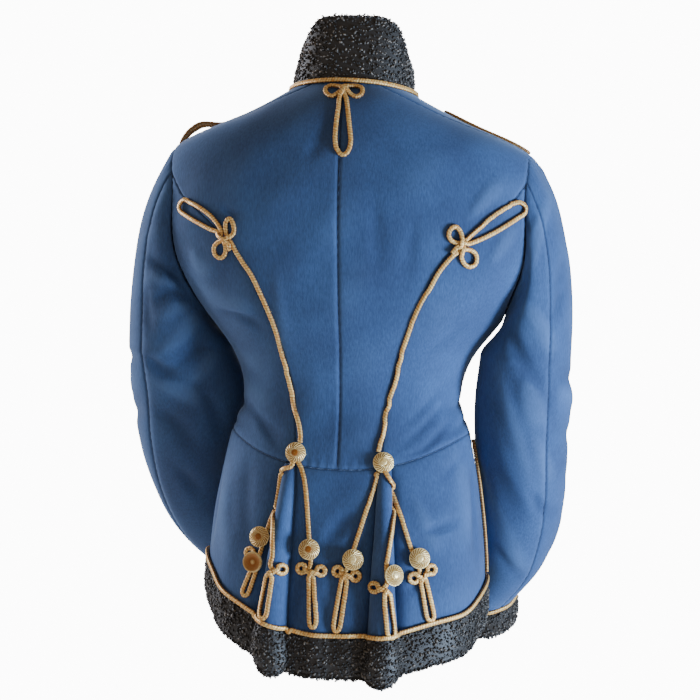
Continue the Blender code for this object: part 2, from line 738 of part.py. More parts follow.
def view_axes():
    turn = math.radians(VIEW_TURN)
    return Vector((math.cos(turn), math.sin(turn), 0)), Vector((-math.sin(turn), math.cos(turn), 0))


def lay(start, direction, lift):
    """Lay a point on the first cloth met from a start, lifted off it by a height."""
    place, normal, _, _ = TREE.ray_cast(start, direction)
    if place is None:
        place, normal, _, _ = TREE.ray_cast(start + PAST_THE_GAP, direction)
    if normal.dot(direction) > 0:
        normal = -normal
    return place + (normal - direction).normalized() * lift


def lay_back(route, lift=CORD_RADIUS + CORD_GAP):
    """Lay points given across and up on the back of the coat."""
    across, towards = view_axes()
    return [lay(across * (a + VIEW_MIDDLE) + towards * 400 + Vector((0, 0, z)), -towards, lift)
            for a, z in route]


def lay_front(route, lift=CORD_RADIUS + CORD_GAP):
    """Lay points given across and up on the front of the coat."""
    return [lay(lean(Vector((x, -400, z))), Vector((0, 1, 0)), lift) for x, z in route]


def lay_top(route, lift=CORD_RADIUS + CORD_GAP):
    """Lay points given in plan on the shoulder, each with its rise above the cloth."""
    return [lay(Vector((x, y, 300)), Vector((0, 0, -1)), lift + rise) for x, y, rise in route]


def clear_cloth(points, closed=False):
    """Move a route off the cloth until the whole of each stretch is clear of it."""
    need = CORD_RADIUS + CORD_GAP
    count = len(points)
    for _ in range(CLEAR_PASSES):
        worst = 0.0
        pairs = range(count if closed else count - 1)
        for i in pairs:
            a, b = points[i], points[(i + 1) % count]
            for share in (0.0, 0.25, 0.5, 0.75, 1.0):
                spot = mix(a, b, share)
                place, _, _, apart = TREE.find_nearest(spot)
                if apart < need - 0.02:
                    push = (spot - place).normalized() * (need - apart + 0.02)
                    points[i] = points[i] + push * (1 - share)
                    points[(i + 1) % count] = points[(i + 1) % count] + push * share
                    worst = max(worst, need - apart)
        if worst == 0.0:
            break
    return points


def smooth_route(route, step=CORD_STEP):
    """Return evenly spaced points on a smooth curve through a route of two or three numbers."""
    size = len(route[0])
    fine = []
    for k in range((len(route) - 1) * 12 + 1):
        fine.append([spline([p[axis] for p in route], k / 12) for axis in range(size)])
    lengths = [0.0]
    for a, b in zip(fine, fine[1:]):
        lengths.append(lengths[-1] + math.dist(a, b))
    count = max(int(round(lengths[-1] / step)), 1)
    points, at = [], 0
    for k in range(count + 1):
        want = lengths[-1] * k / count
        while at < len(lengths) - 2 and lengths[at + 1] < want:
            at += 1
        t = (want - lengths[at]) / max(lengths[at + 1] - lengths[at], 1e-9)
        points.append(tuple(mix(a, b, t) for a, b in zip(fine[at], fine[at + 1])))
    return points


def long_loop(trefoil):
    """Return the long drop-shaped loop of a trefoil, as a closed route."""
    knot, tip = Vector(trefoil.knot), Vector(trefoil.tip)
    down = (tip - knot).normalized()
    aside = Vector((-down.y, down.x))
    radius, small = trefoil.width / 2, 2.6
    centre = tip - down * radius
    end = [centre + (down * math.cos(t) + aside * math.sin(t)) * radius
           for t in (math.radians(a) for a in (-90, -45, 0, 45, 90))]
    top = [knot + (aside * math.cos(t) - down * math.sin(t)) * small
           for t in (math.radians(a) for a in (0, 90, 180))]
    near = [mix(end[-1], top[0], share) for share in (0.33, 0.67)]
    far = [mix(top[-1], end[0], share) for share in (0.33, 0.67)]
    return [tuple(p) for p in end + near + top + far]


def small_loop(knot, centre, count=8):
    """Return a small oval loop of a trefoil that reaches back to the knot, as a closed route."""
    away = Vector(centre) - Vector(knot)
    long_radius = min(max(away.length - LOOP_NEAR, LOOP_RADIUS), LOOP_LONGEST)
    along = away.normalized()
    aside = Vector((-along.y, along.x))
    route = []
    for k in range(count):
        turn = 2 * math.pi * (k + 0.5) / count
        route.append(tuple(Vector(centre) + along * long_radius * math.cos(turn)
                           + aside * LOOP_RADIUS * math.sin(turn)))
    return route


def cord(name, points, closed=False, group=None):
    """Make a round cord along its points."""
    curve = bpy.data.curves.new(name, "CURVE")
    curve.dimensions = "3D"
    curve.bevel_depth = CORD_RADIUS * MM
    curve.bevel_resolution = 1
    curve.use_fill_caps = not closed
    line = curve.splines.new("POLY")
    line.points.add(len(points) - 1)
    for spot, point in zip(line.points, points):
        spot.co = (point.x * MM, point.y * MM, point.z * MM, 1)
    line.use_cyclic_u = closed
    item = bpy.data.objects.new(name, curve)
    (group or PARTS).objects.link(item)
    if group is None:
        finish_material(item, name, "cord")
    return item


def mesh_of(item, group):
    """Turn a cord into a mesh with its caps welded, so that it can be joined."""
    bpy.context.view_layer.update()
    graph = bpy.context.evaluated_depsgraph_get()
    mesh = bpy.data.meshes.new_from_object(item.evaluated_get(graph))
    work = bmesh.new()
    work.from_mesh(mesh)
    bmesh.ops.remove_doubles(work, verts=work.verts, dist=0.00002)
    bmesh.ops.recalc_face_normals(work, faces=work.faces)
    if work.calc_volume(signed=True) < 0:
        bmesh.ops.reverse_faces(work, faces=work.faces)
    work.to_mesh(mesh)
    work.free()
    solid = bpy.data.objects.new(item.name + "_solid", mesh)
    solid.matrix_world = item.matrix_world
    group.objects.link(solid)
    bpy.data.objects.remove(item)
    return solid


def join_cords(name, routes):
    """Join cords that cross into one solid; routes are (points, closed)."""
    pieces = [mesh_of(cord(name + "_" + str(k), points, closed, TOOLS), TOOLS)
              for k, (points, closed) in enumerate(routes)]
    base = pieces[0]
    for piece in pieces[1:]:
        union = base.modifiers.new("join", "BOOLEAN")
        union.operation = "UNION"
        union.object = piece
    bpy.context.view_layer.update()
    graph = bpy.context.evaluated_depsgraph_get()
    mesh = bpy.data.meshes.new_from_object(base.evaluated_get(graph))
    for piece in pieces:
        bpy.data.objects.remove(piece)
    mesh.name = name
    mesh.shade_smooth()
    item = bpy.data.objects.new(name, mesh)
    PARTS.objects.link(item)
    finish_material(item, name, "cord")


def trefoil_routes(trefoil):
    """Return the three laid loops of a trefoil."""
    sides = [spot for spot in (trefoil.small_left, trefoil.small_right) if spot]
    loops = [long_loop(trefoil)] + [small_loop(trefoil.knot, spot) for spot in sides]
    return [(clear_cloth(lay_back(loop), closed=True), True) for loop in loops]


def back_cords():
    for side, route in MAIN_ROUTES.items():
        stem = clear_cloth(lay_back(smooth_route(route, 14)))
        join_cords("cord_back_" + side, [(stem, False)] + trefoil_routes(BACK_TREFOILS[side]))
    for cord_row in SKIRT_CORDS:
        stem = clear_cloth(lay_back(smooth_route(cord_row.route, 15)))
        join_cords("cord_skirt_" + cord_row.name, [(stem, False)] + trefoil_routes(cord_row.trefoil))


def neck_cord():
    """The cord along the neck seam, with the trefoil at the centre back."""
    points = []
    for angle in spread(-NECK_CORD_END, NECK_CORD_END, NECK_CORD_POINTS - 1):
        seam = coat_point(angle, 0)
        out = Vector((seam.x, seam.y, 0)).normalized()
        points.append(seam + out * (CORD_RADIUS + 1.5) - Vector((0, 0, 1)))
    stem = clear_cloth(points)
    join_cords("cord_neck", [(stem, False)] + trefoil_routes(NECK_TREFOIL))


def hem_cord():
    """The cord at the top edge of the fur, over every panel and pleat."""
    (left_in, left_out), (right_in, right_out) = (pleat_edges(pleat, 1) for pleat in PLEATS)
    points = []
    for angle in spread(-HEM_CORD_END, -right_out, 15)[:-1]:
        points.append(coat_point(angle, WAIST + 1))
    points += list(reversed(pleat_line(PLEATS[1], -1, 1, 0, 0)))[1:-1]
    for angle in spread(-right_in, left_in, 8):
        points.append(coat_point(angle, WAIST + 1))
    points += pleat_line(PLEATS[0], 1, 1, 0, 0)[1:-1]
    for angle in spread(left_out, HEM_CORD_END, 15)[1:]:
        points.append(coat_point(angle, WAIST + 1))
    lifted = []
    for point in points:
        out = Vector((point.x / HEM_RING.half_width, point.y / HEM_RING.y_back, 0)).normalized()
        lifted.append(point + out * (CORD_RADIUS + 0.6) + Vector((0, 0, CORD_RADIUS + 1)))
    cord("cord_hem", clear_cloth(lifted))


def side_cords():
    """The cord down the front edge of each skirt side."""
    for side, sign in (("left", 1), ("right", -1)):
        points = []
        for k in range(8):
            level = mix(WAIST + 0.04, WAIST + 0.94, k / 7)
            angle = sign * SIDE_SEAM
            points.append(coat_point(angle, level) + coat_normal(angle, level) * (CORD_RADIUS + 0.6))
        cord("cord_side_" + side, clear_cloth(points))


def cuff_cords(wrists):
    for side, (centre, along, wrist) in wrists.items():
        points = []
        for p in wrist[::2]:
            away = (p - centre).normalized()
            points.append(p + away * (CORD_RADIUS + 0.6) - along * (CORD_RADIUS + 0.6))
        cord("cord_cuff_" + side, clear_cloth(points, closed=True), closed=True)


def shoulder_cords():
    """A long closed loop on each shoulder; the left one arches a little above the cloth."""
    middle, half = SHOULDER_CORD
    for side, sign, arch in (("left", 1, 7), ("right", -1, 0)):
        route = []
        for k in range(18):
            turn = 2 * math.pi * k / 18
            x = middle + half * math.copysign(abs(math.cos(turn)) ** 0.75, math.cos(turn))
            y = -8 + 7 * math.sin(turn)
            rise = arch * max(0.0, 1 - ((x - middle - half / 2) / 26) ** 2)
            route.append((sign * x, y, rise))
        cord("cord_shoulder_" + side, clear_cloth(lay_top(route), closed=True), closed=True)


def button(name, spot, normal, lift):
    """A domed button turned from its profile, with its flat back towards the cloth."""
    profile = [(0, BUTTON_HEIGHT), (4, BUTTON_HEIGHT), (8.6, 6.8), (BUTTON_RADIUS, 2.6),
               (10.8, 0), (0, 0)]
    mesh = bpy.data.meshes.new(name)
    mesh.from_pydata([(x * MM, 0, z * MM) for x, z in profile], [(k, k + 1) for k in range(5)], [])
    item = bpy.data.objects.new(name, mesh)
    PARTS.objects.link(item)
    turned = item.modifiers.new("turned", "SCREW")
    turned.steps = 12
    turned.render_steps = 12
    turned.use_merge_vertices = True
    turned.merge_threshold = 0.00005
    item.rotation_mode = "QUATERNION"
    item.rotation_quaternion = normal.to_track_quat("Z", "Y")
    item.location = (spot + normal * lift) * MM
    finish_material(item, name, "button")
    return item


def facing(spot, direction):
    """Return the direction that a button faces, from the cloth across its width."""
    aside = direction.cross(Vector((0, 0, 1))).normalized()
    up = aside.cross(direction).normalized()
    reach = BUTTON_RADIUS * 0.8
    around = [lay(spot - direction * 60 + way * reach, direction, 0)
              for way in (aside, up, -aside, -up)]
    normal = (around[0] - around[2]).cross(around[1] - around[3]).normalized()
    return normal if normal.dot(direction) < 0 else -normal


def rest_lift(spot, normal):
    """Return how far a button's back has to stand off a spot to clear all that is under it."""
    aside = normal.orthogonal().normalized()
    highest = 0.0
    for share in (0.0, 0.2, 0.4, 0.6, 0.8, 0.9, 1.0):
        for k in range(24 if share else 1):
            way = aside.copy()
            way.rotate(Quaternion(normal, math.radians(15 * k)))
            start = spot + way * BUTTON_RADIUS * share + normal * 50
            for tree in (TREE, CORD_TREE):
                place, _, _, apart = tree.ray_cast(start, -normal, 60)
                if place is not None:
                    highest = max(highest, 50 - apart)
    return highest + CORD_GAP


def seat_button(name, spot, direction):
    normal = facing(spot, direction)
    button(name, spot, normal, rest_lift(spot, normal))


def buttons():
    _, towards = view_axes()
    for side, place in WAIST_BUTTONS.items():
        seat_button("button_waist_" + side, lay_back([place], 0)[0], -towards)
    for row in SKIRT_CORDS:
        seat_button("button_skirt_" + row.name, lay_back([row.button], 0)[0], -towards)
    for k, z in enumerate(FRONT_ROWS, 1):
        seat_button("button_front_%d" % k, lay_front([(0, z)], 0)[0], Vector((0, 1, 0)))


def front_fastening():
    """Five doubled cords across the front edges."""
    half, height = FRONT_BAR
    for k, z in enumerate(FRONT_ROWS, 1):
        route = []
        for corner in range(14):
            turn = 2 * math.pi * (corner + 0.5) / 14
            route.append((half * math.copysign(abs(math.cos(turn)) ** 0.6, math.cos(turn)),
                          z + height / 2 * math.copysign(abs(math.sin(turn)) ** 0.8, math.sin(turn))))
        cord("cord_front_%d" % k, clear_cloth(lay_front(route), closed=True), closed=True)


clear_scene()
PARTS, TOOLS = make_collections()
for panel_side, panel_sign in (("left", 1), ("right", -1)):
    back_panel(panel_side, panel_sign)
    side_back_panel(panel_side, panel_sign)
    front_panel(panel_side, panel_sign)
skirt_panels()
pleats()
hem_fur()
collar()
sleeve_ends = sleeves()
TREE = build_tree()
neck_cord()
back_cords()
hem_cord()
side_cords()
cuff_cords(sleeve_ends)
shoulder_cords()
front_fastening()
CORD_TREE = build_cord_tree()
buttons()
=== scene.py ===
"""Hussar dolman in blue wool, black lambskin and gold cord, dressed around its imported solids.

Every table is in millimetres and degrees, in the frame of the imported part: +Z is up, the back
faces +Y and the wearer's left is +X. Only the finished meshes are in metres.
"""
from __future__ import annotations

import logging
import math
from collections.abc import Callable, Iterable
from dataclasses import dataclass, field, fields
from enum import Enum

import bpy
import numpy as np
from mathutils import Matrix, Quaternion, Vector
from mathutils.bvhtree import BVHTree


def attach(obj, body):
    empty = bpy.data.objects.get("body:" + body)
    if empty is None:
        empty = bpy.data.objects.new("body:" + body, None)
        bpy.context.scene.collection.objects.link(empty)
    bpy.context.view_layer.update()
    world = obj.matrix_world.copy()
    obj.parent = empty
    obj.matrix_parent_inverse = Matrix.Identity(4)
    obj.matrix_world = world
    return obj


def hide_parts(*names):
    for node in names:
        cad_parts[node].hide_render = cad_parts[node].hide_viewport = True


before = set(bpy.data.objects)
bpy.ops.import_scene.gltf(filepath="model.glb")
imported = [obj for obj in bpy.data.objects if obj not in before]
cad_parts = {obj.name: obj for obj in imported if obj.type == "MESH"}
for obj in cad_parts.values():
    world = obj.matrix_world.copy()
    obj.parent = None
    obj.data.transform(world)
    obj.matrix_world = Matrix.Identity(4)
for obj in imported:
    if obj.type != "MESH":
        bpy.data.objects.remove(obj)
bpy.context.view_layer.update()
MM = 0.001
LEAN = 0.0305              # the garment hangs a little askew: its middle drifts to the right
LEAN_END = -303.0          # by this slope below the neck, down to this height
COLLAR_LEAN = 0.08         # above the neck the collar leans back the other way
SHOULDER_TILT = 0.014      # the right shoulder hangs a little lower than the left one
TILT_FADE = 150.0
Grid = np.ndarray
Tree, Node, Socket = bpy.types.NodeTree, bpy.types.Node, bpy.types.NodeSocket
LEVEL_WAYS = np.array([1, 1, 0])
log = logging.getLogger("dolman")


class Side(Enum):
    """A half of the garment, with the sign of its X."""

    LEFT = 1
    RIGHT = -1

    @property
    def word(self) -> str:
        """The side's name as the nodes spell it."""
        return self.name.lower()


class View(Enum):
    """A side from which creases and cords are placed, by its angle from +Y towards +X."""

    BACK = -9.0
    FRONT = 180.0
    LEFT = 90.0
    RIGHT = -90.0

    @property
    def towards(self) -> np.ndarray:
        """The level direction from the garment to somebody who looks from this side."""
        turn = math.radians(self.value)
        return np.array([math.sin(turn), math.cos(turn), 0.0])

    @property
    def across(self) -> np.ndarray:
        """The level direction, on the side of +X and +Y, in which this side's tables measure."""
        x, y, _ = np.abs(self.towards)
        return np.array([y, x, 0.0])

    @property
    def middle(self) -> float:
        """How far across the garment's own middle lies in this side's tables."""
        return LEAN * LEAN_END if self is View.BACK else 0.0


class Facing(Enum):
    """Which way a button shows."""

    FACE = "face"
    REVERSE = "reverse"


class Edge(Enum):
    """An edge of a grid of points: its own line, and the line beside it."""

    TOP = (np.s_[:1], np.s_[1:2])
    BOTTOM = (np.s_[-1:], np.s_[-2:-1])
    START = (np.s_[:, :1], np.s_[:, 1:2])
    END = (np.s_[:, -1:], np.s_[:, -2:-1])


class Held(Enum):
    """How a piece of cloth is held, in the words of the sheet table."""

    HUNG = "hung"
    FOLDED = "folded"


@dataclass(frozen=True)
class Ring:
    """A level section of the coat, or of its collar."""

    z_back: float
    z_side: float
    z_front: float
    half_width: float
    y_back: float
    y_front: float


@dataclass(frozen=True)
class Pleat:
    """A pleat's inner and outer edge and its height, at the waist and at the hem."""

    side: Side
    in_waist: float
    in_hem: float
    out_waist: float
    out_hem: float
    high_waist: float
    high_hem: float


@dataclass(frozen=True)
class Arm:
    """A section of a sleeve: its middle, its two radii and how far it leans forward."""

    x: float
    y: float
    z: float
    across: float
    fore: float
    lean: float


@dataclass(frozen=True)
class Crease:
    """A soft ridge, or a trough where the depth is negative, along a route across and up."""

    view: View
    depth: float
    width: float
    route: tuple[tuple[float, float], ...]


@dataclass(frozen=True)
class Trefoil:
    """A knot of cord with one long loop and up to two small ones, as seen from the back."""

    knot: tuple[float, float]
    tip: tuple[float, float]
    width: float
    small_left: tuple[float, float] | None
    small_right: tuple[float, float] | None


@dataclass(frozen=True)
class SkirtCord:
    """A cord on the skirt: its route, the trefoil that ends it, and the button on it."""

    name: str
    route: tuple[tuple[float, float], ...]
    trefoil: Trefoil
    facing: Facing = Facing.FACE


def creased(view: View, *rows: tuple[float, ...]) -> tuple[Crease, ...]:
    """Return the creases of rows that give a depth, a width, and across and up of each point."""
    return tuple(Crease(view, row[0], row[1], tuple(zip(row[2::2], row[3::2]))) for row in rows)


BODY_RINGS = {
    "neck": Ring(0, -6, -72, 69, 58, -62),
    "yoke": Ring(-29, -35, -98, 122, 84, -88),
    "shoulder": Ring(-76, -76, -128, 208, 101, -106),
    "blade": Ring(-135, -130, -168, 224, 113, -119),
    "chest": Ring(-200, -196, -216, 216, 115, -128),
    "underarm": Ring(-268, -262, -266, 172, 109, -128),
    "rib": Ring(-318, -310, -314, 136, 98, -121),
    "waist": Ring(-366, -356, -360, 125, 89, -112),
    "waist seam": Ring(-436, -395, -402, 137, 95, -112),
}
LEVELS = {name: level for level, name in enumerate(BODY_RINGS)}
HEM_RING = Ring(0, 0, 0, 159, 120, -128)       # its heights are those of HEM_LINE
COLLAR_RINGS = {
    "seam": Ring(1.4, -4.6, -70.4, 69.5, 58.5, -62.5),
    "middle": Ring(39, 11, -46, 69, 53, -60),
    "top": Ring(75, 25, -22, 66, 47, -56),
}
# The height of the hem cord, by the angle round the coat.
HEM_LINE = (
    (-180, -566), (-130, -562), (-95, -563), (-77, -576), (-64, -594), (-46, -600), (-32, -609),
    (-19, -619), (-8, -617), (2, -621), (14, -615), (22, -608), (32, -597), (50, -577), (64, -554),
    (83, -540), (120, -548), (180, -566),
)
# How far the side back seam is from the middle, by the level down the coat.
SIDE_BACK_SEAM = (
    (3.04, 188), (3.5, 151), (3.96, 119), (4.38, 101), (4.71, 90), (4.93, 83), (5.0, 81),
    (5.75, 67), (6.5, 57), (7.25, 51), (8.0, 47),
)
# The middle and the spread of each soft fold of the skirt, in degrees, and its depth.
SKIRT_FOLDS = (
    (3, 3.5, 4.0), (-5, 3.0, 3.0), (48, 8, 3.0), (-50, 9, 2.5), (118, 11, 4.0), (-124, 10, 3.5),
    (150, 9, 2.5), (-156, 10, 3.0),
)
PLEATS = (
    Pleat(Side.LEFT, 47, 49, 60, 79, 3, 17),
    Pleat(Side.RIGHT, 47, 43, 60, 75, 3, 18),
)
ARMS = {
    Side.LEFT: {
        "upper": Arm(200, -20, -306, 62, 58, 8),
        "above elbow": Arm(191, -34, -350, 69, 58, 14),
        "elbow": Arm(194, -48, -398, 62, 55, 26),
        "below elbow": Arm(196, -72, -442, 53, 52, 36),
        "forearm": Arm(187, -100, -485, 49, 49, 43),
        "lower forearm": Arm(171, -129, -522, 44, 45, 46),
        "wrist": Arm(141, -162, -556, 40, 42, 48),
    },
    Side.RIGHT: {
        "upper": Arm(207, -4, -306, 52, 57, 4),
        "above elbow": Arm(205, -18, -352, 55, 56, 10),
        "elbow": Arm(203, -38, -402, 54, 54, 18),
        "below elbow": Arm(204, -62, -450, 51, 51, 26),
        "forearm": Arm(199, -84, -499, 48, 48, 31),
        "lower forearm": Arm(185, -113, -548, 43, 44, 34),
        "wrist": Arm(154, -142, -590, 39, 41, 35),
    },
}

BODY_CREASES = (
    *creased(View.BACK,
        (-2.4, 5, 156, -262, 130, -267, 100, -281), (2.6, 9, 171, -250, 142, -256, 112, -261),
        (3.2, 10, 136, -333, 117, -352, 94, -372), (-2.8, 5, 120, -367, 97, -389, 75, -404),
        (-1.7, 4, 108, -383, 93, -401, 78, -414), (2.0, 9, 148, -300, 125, -314, 99, -324),
        (-2.2, 4, -56, -424, -83, -409, -115, -375), (-1.6, 4, -50, -413, -75, -392, -107, -358),
        (-1.3, 5, -57, -386, -82, -363, -110, -333), (-1.1, 7, -73, -308, -94, -296, -130, -266),
        (-2.4, 5, -82, -502, -101, -497, -124, -490), (-1.6, 5, -66, -569, -77, -557, -91, -548),
        (-2.6, 8, 25, -520, 13, -501, -7, -481), (-1.3, 7, 58, -96, 48, -77, 32, -47),
        (2.0, 8, -123, -153, -141, -130, -158, -111), (1.6, 8, -147, -203, -161, -181, -175, -158),
        (2.1, 9, 188, -191, 176, -213, 157, -220), (1.9, 8, 183, -228, 164, -242, 138, -245),
        (-1.2, 5, 152, -146, 145, -153, 133, -160), (2.6, 8, 139, -454, 142, -498, 136, -542),
        (-1.6, 10, 114, -424, 116, -479, 111, -534), (2.0, 10, -116, -409, -129, -453, -138, -508),
        (-1.7, 5, 29, -568, 25, -590, 23, -608), (-2.0, 6, 48, -550, 55, -576, 58, -606),
        (-0.7, 9, -16, -126, -21, -170, -26, -221), (-0.7, 9, -61, -154, -58, -191, -52, -235),
        (0.7, 9, 88, -218, 82, -276, 74, -313), (-1.2, 5, -95, -447, -113, -432, -131, -413),
        (1.1, 8, -66, -455, -78, -477, -101, -527),
    ),
    *creased(View.FRONT,
        (-2.2, 6, -120, -350, -80, -372, -30, -380), (-2.0, 6, 115, -340, 85, -360, 30, -366),
        (-1.4, 5, -118, -372, -85, -392, -40, -398), (-1.7, 5, 118, -368, 90, -388, 45, -396),
        (2.1, 12, -168, -170, -120, -190, -60, -196), (1.8, 12, 166, -160, 125, -182, 70, -192),
        (-1.3, 8, -150, -230, -105, -250, -50, -262), (-1.5, 8, 150, -240, 110, -262, 60, -270),
        (-1.3, 8, -110, -60, -130, -95, -150, -140), (-1.1, 8, 108, -62, 126, -98, 146, -138),
        (2.6, 11, -100, -440, -108, -500, -104, -550), (2.2, 12, 98, -430, 110, -490, 108, -550),
        (-1.5, 10, -45, -430, -52, -490, -50, -550), (-1.7, 9, 50, -430, 56, -495, 58, -550),
    ),
    *creased(View.LEFT,
        (-2.1, 6, -60, -350, 0, -365, 60, -372), (-1.5, 5, -50, -372, 10, -388, 70, -392),
        (2.4, 12, -40, -440, -45, -500, -50, -540), (-1.9, 10, 30, -440, 38, -490, 42, -535),
    ),
    *creased(View.RIGHT,
        (-1.9, 6, -66, -342, -6, -360, 54, -368), (-1.6, 5, -40, -376, 16, -384, 66, -398),
        (2.2, 12, -34, -430, -38, -500, -46, -545), (-1.8, 9, 22, -430, 34, -500, 36, -545),
    ),
)
SLEEVE_CREASES = {
    Side.LEFT: (
        *creased(View.BACK,
            (-4.6, 7, 242, -203, 218, -218, 191, -234), (3.2, 7, 246, -238, 229, -226, 198, -236),
            (-3.2, 6, 232, -256, 213, -244, 190, -247), (3.0, 6, 228, -275, 209, -263, 188, -255),
            (-5.0, 6, 240, -318, 222, -333, 203, -336), (4.2, 8, 223, -314, 200, -294, 178, -262),
            (-3.2, 6, 207, -329, 188, -316, 170, -297), (3.0, 7, 191, -343, 176, -335, 158, -308),
            (2.2, 7, 250, -192, 242, -180, 223, -172), (2.0, 10, 239, -165, 228, -137, 218, -106),
            (3.0, 9, 226, -348, 202, -355, 175, -366), (-2.6, 10, 229, -379, 205, -394, 181, -427),
            (-2.1, 9, 207, -444, 184, -470, 175, -489), (-2.6, 9, 176, -354, 160, -377, 151, -415),
            (-1.6, 6, 241, -226, 242, -257, 235, -295),
        ),
        *creased(View.FRONT,
            (-3.6, 7, 165, -300, 195, -318, 235, -322), (3.0, 8, 170, -335, 200, -345, 240, -348),
            (-3.1, 8, 160, -372, 190, -385, 228, -380), (2.1, 9, 205, -150, 215, -190, 220, -230),
            (-2.0, 7, 150, -480, 170, -505, 195, -520),
        ),
        *creased(View.LEFT,
            (-2.0, 9, -45, -330, -10, -318, 40, -322), (1.4, 10, -60, -362, -20, -350, 38, -348),
            (-1.8, 10, -75, -400, -40, -385, 20, -382), (2.0, 10, -30, -180, -20, -230, -25, -280),
            (-2.1, 8, -110, -470, -90, -440, -50, -420), (1.8, 9, -140, -520, -110, -500, -80, -470),
        ),
    ),
    Side.RIGHT: (
        *creased(View.BACK,
            (3.6, 8, -218, -112, -198, -170, -177, -229), (1.9, 5, -208, -97, -220, -112, -228, -135),
            (-3.1, 8, -237, -181, -230, -212, -227, -242), (-3.1, 6, -244, -223, -231, -236, -221, -266),
            (2.6, 9, -183, -244, -205, -266, -226, -304), (-2.6, 9, -167, -263, -183, -301, -211, -343),
            (3.1, 11, -192, -324, -200, -354, -213, -385), (2.6, 9, -205, -393, -218, -419, -230, -449),
            (1.6, 8, -157, -306, -174, -363, -207, -450), (-2.1, 10, -151, -383, -168, -440, -205, -496),
            (-3.1, 7, -207, -458, -223, -480, -243, -484), (2.6, 11, -157, -452, -178, -508, -207, -565),
            (-2.1, 8, -167, -517, -187, -547, -215, -573), (-2.0, 6, -186, -125, -179, -171, -169, -213),
            (-2.1, 6, -226, -331, -223, -361, -232, -399),
        ),
        *creased(View.FRONT,
            (-3.3, 7, -160, -310, -190, -322, -230, -318), (2.8, 8, -166, -342, -198, -350, -236, -340),
            (-2.9, 8, -158, -384, -188, -392, -226, -378), (2.0, 9, -200, -140, -212, -190, -214, -240),
            (-2.1, 8, -150, -500, -172, -530, -196, -545),
        ),
        *creased(View.RIGHT,
            (-2.0, 9, -48, -338, -8, -326, 42, -316), (1.4, 10, -64, -366, -24, -352, 36, -340),
            (-1.7, 10, -78, -408, -38, -392, 22, -378), (2.1, 10, -26, -170, -16, -230, -22, -286),
            (-2.0, 8, -104, -500, -84, -460, -48, -432), (1.9, 9, -126, -550, -100, -520, -72, -486),
        ),
    ),
}

BACK_ROUTES = {
    Side.LEFT: (
        (56, -408), (57, -393), (66, -360), (80, -306), (87, -283), (96, -262), (114, -226), (125, -210),
        (132.5, -199), (138, -190), (143.5, -182), (146, -173), (146, -166), (142.7, -161), (138.7, -165),
        (136.5, -173), (138, -179), (143, -182.5), (150, -185), (155.4, -188), (158.7, -193.4),
        (157, -201), (151, -204.4), (146, -200), (145.7, -191), (149, -183), (151.4, -173.6),
        (157, -165), (166, -156), (179.5, -147), (191, -141), (196.7, -139.8), (201, -145), (200, -151),
        (192.5, -157), (177.5, -165.6), (164, -172.5), (155, -176.7), (148, -181.6), (142, -187.4),
        (137.6, -194),
    ),
    Side.RIGHT: (
        (-30, -415), (-35, -390), (-40, -362), (-47, -335), (-55, -297), (-68, -259), (-81.5, -232),
        (-90, -215.4), (-100.6, -201.3), (-107.7, -194), (-115, -190), (-122, -189), (-128.6, -192.3),
        (-131, -198.6), (-129, -205), (-122.7, -207.6), (-116.7, -203.6), (-114, -196.4),
        (-115.6, -187), (-119, -178), (-127, -169.5), (-143, -155.3), (-159, -143), (-170, -136.3),
        (-178, -134.4), (-183.6, -138.6), (-182.8, -146), (-175.7, -151.6), (-161.4, -162),
        (-143.5, -172.7), (-131, -179), (-120, -183), (-109, -182.4), (-102, -179.4), (-99.3, -173),
        (-102.3, -166.6), (-107.7, -165), (-112.5, -171), (-113.6, -178.5), (-110, -186.3),
        (-104, -194.7),
    ),
}
NECK_KNOT = (
    (20, -10), (26, -17), (33, -21.5), (39.5, -17.5), (39.7, -11.5), (33.4, -8.3), (26.6, -10),
    (21, -15.3), (16.7, -26), (12.5, -55), (10.5, -73), (12.7, -84), (17.7, -88.5), (23.7, -85),
    (27.5, -76), (27.4, -56), (25, -26.4), (21.4, -15.3), (15.6, -9.6), (6.8, -8.3), (0, -11.4),
    (0.4, -18.5), (6.4, -21.5), (13, -18.4), (19, -12),
)
SKIRT_CORDS = (
    SkirtCord("left_centre", ((58, -428), (53, -439), (49.4, -452), (46, -480), (43, -509), (40, -540)),
              Trefoil((39, -551), (35.3, -608), 6.6, (49.6, -545), (28.8, -546.5))),
    SkirtCord("left_pleat", ((63, -426), (65.4, -435), (72, -437.5), (76, -441), (77.7, -449),
                             (80, -468), (82, -484), (82.2, -513), (82, -531), (83.5, -543)),
              Trefoil((84.3, -551), (90.5, -600), 7.2, (73, -546), None), Facing.REVERSE),
    SkirtCord("left_side", ((82.7, -484), (86.6, -494), (89.6, -505), (94.5, -524), (98.5, -536)),
              Trefoil((100, -543), (112.4, -579), 7, (107.5, -532), None)),
    SkirtCord("right_centre", ((-32, -436), (-29, -443), (-20, -475), (-7, -520), (0, -543)),
              Trefoil((2.3, -552), (10, -611), 7.6, (10, -546), (-9, -550.5))),
    SkirtCord("right_pleat", ((-38, -436), (-42.4, -443.5), (-47, -454), (-48, -467), (-46.3, -497),
                              (-42.4, -534), (-42.6, -556)),
              Trefoil((-43.2, -564.7), (-49.3, -614), 7.4, (-31.5, -560.5), None)),
    SkirtCord("right_side", ((-47.4, -458), (-51.3, -467.6), (-58.5, -488), (-68.6, -519), (-78, -540)),
              Trefoil((-82.4, -550), (-93, -597), 8, (-72.5, -551), (-91.5, -542))),
)
FRONT_ROWS = (-112, -184, -256, -328, -396)    # the heights of the bars across the fronts
LAMPS = (
    ("key", (-2.5, 0.9, -1.05), 0.9, 235, "#c6e0ff"),
    ("far", (2.4, -0.6, 0.3), 0.8, 75, "#eef2ff"),
    ("front", (0.9, -2.4, 1.0), 1.4, 40, "#fffaf2"),
)


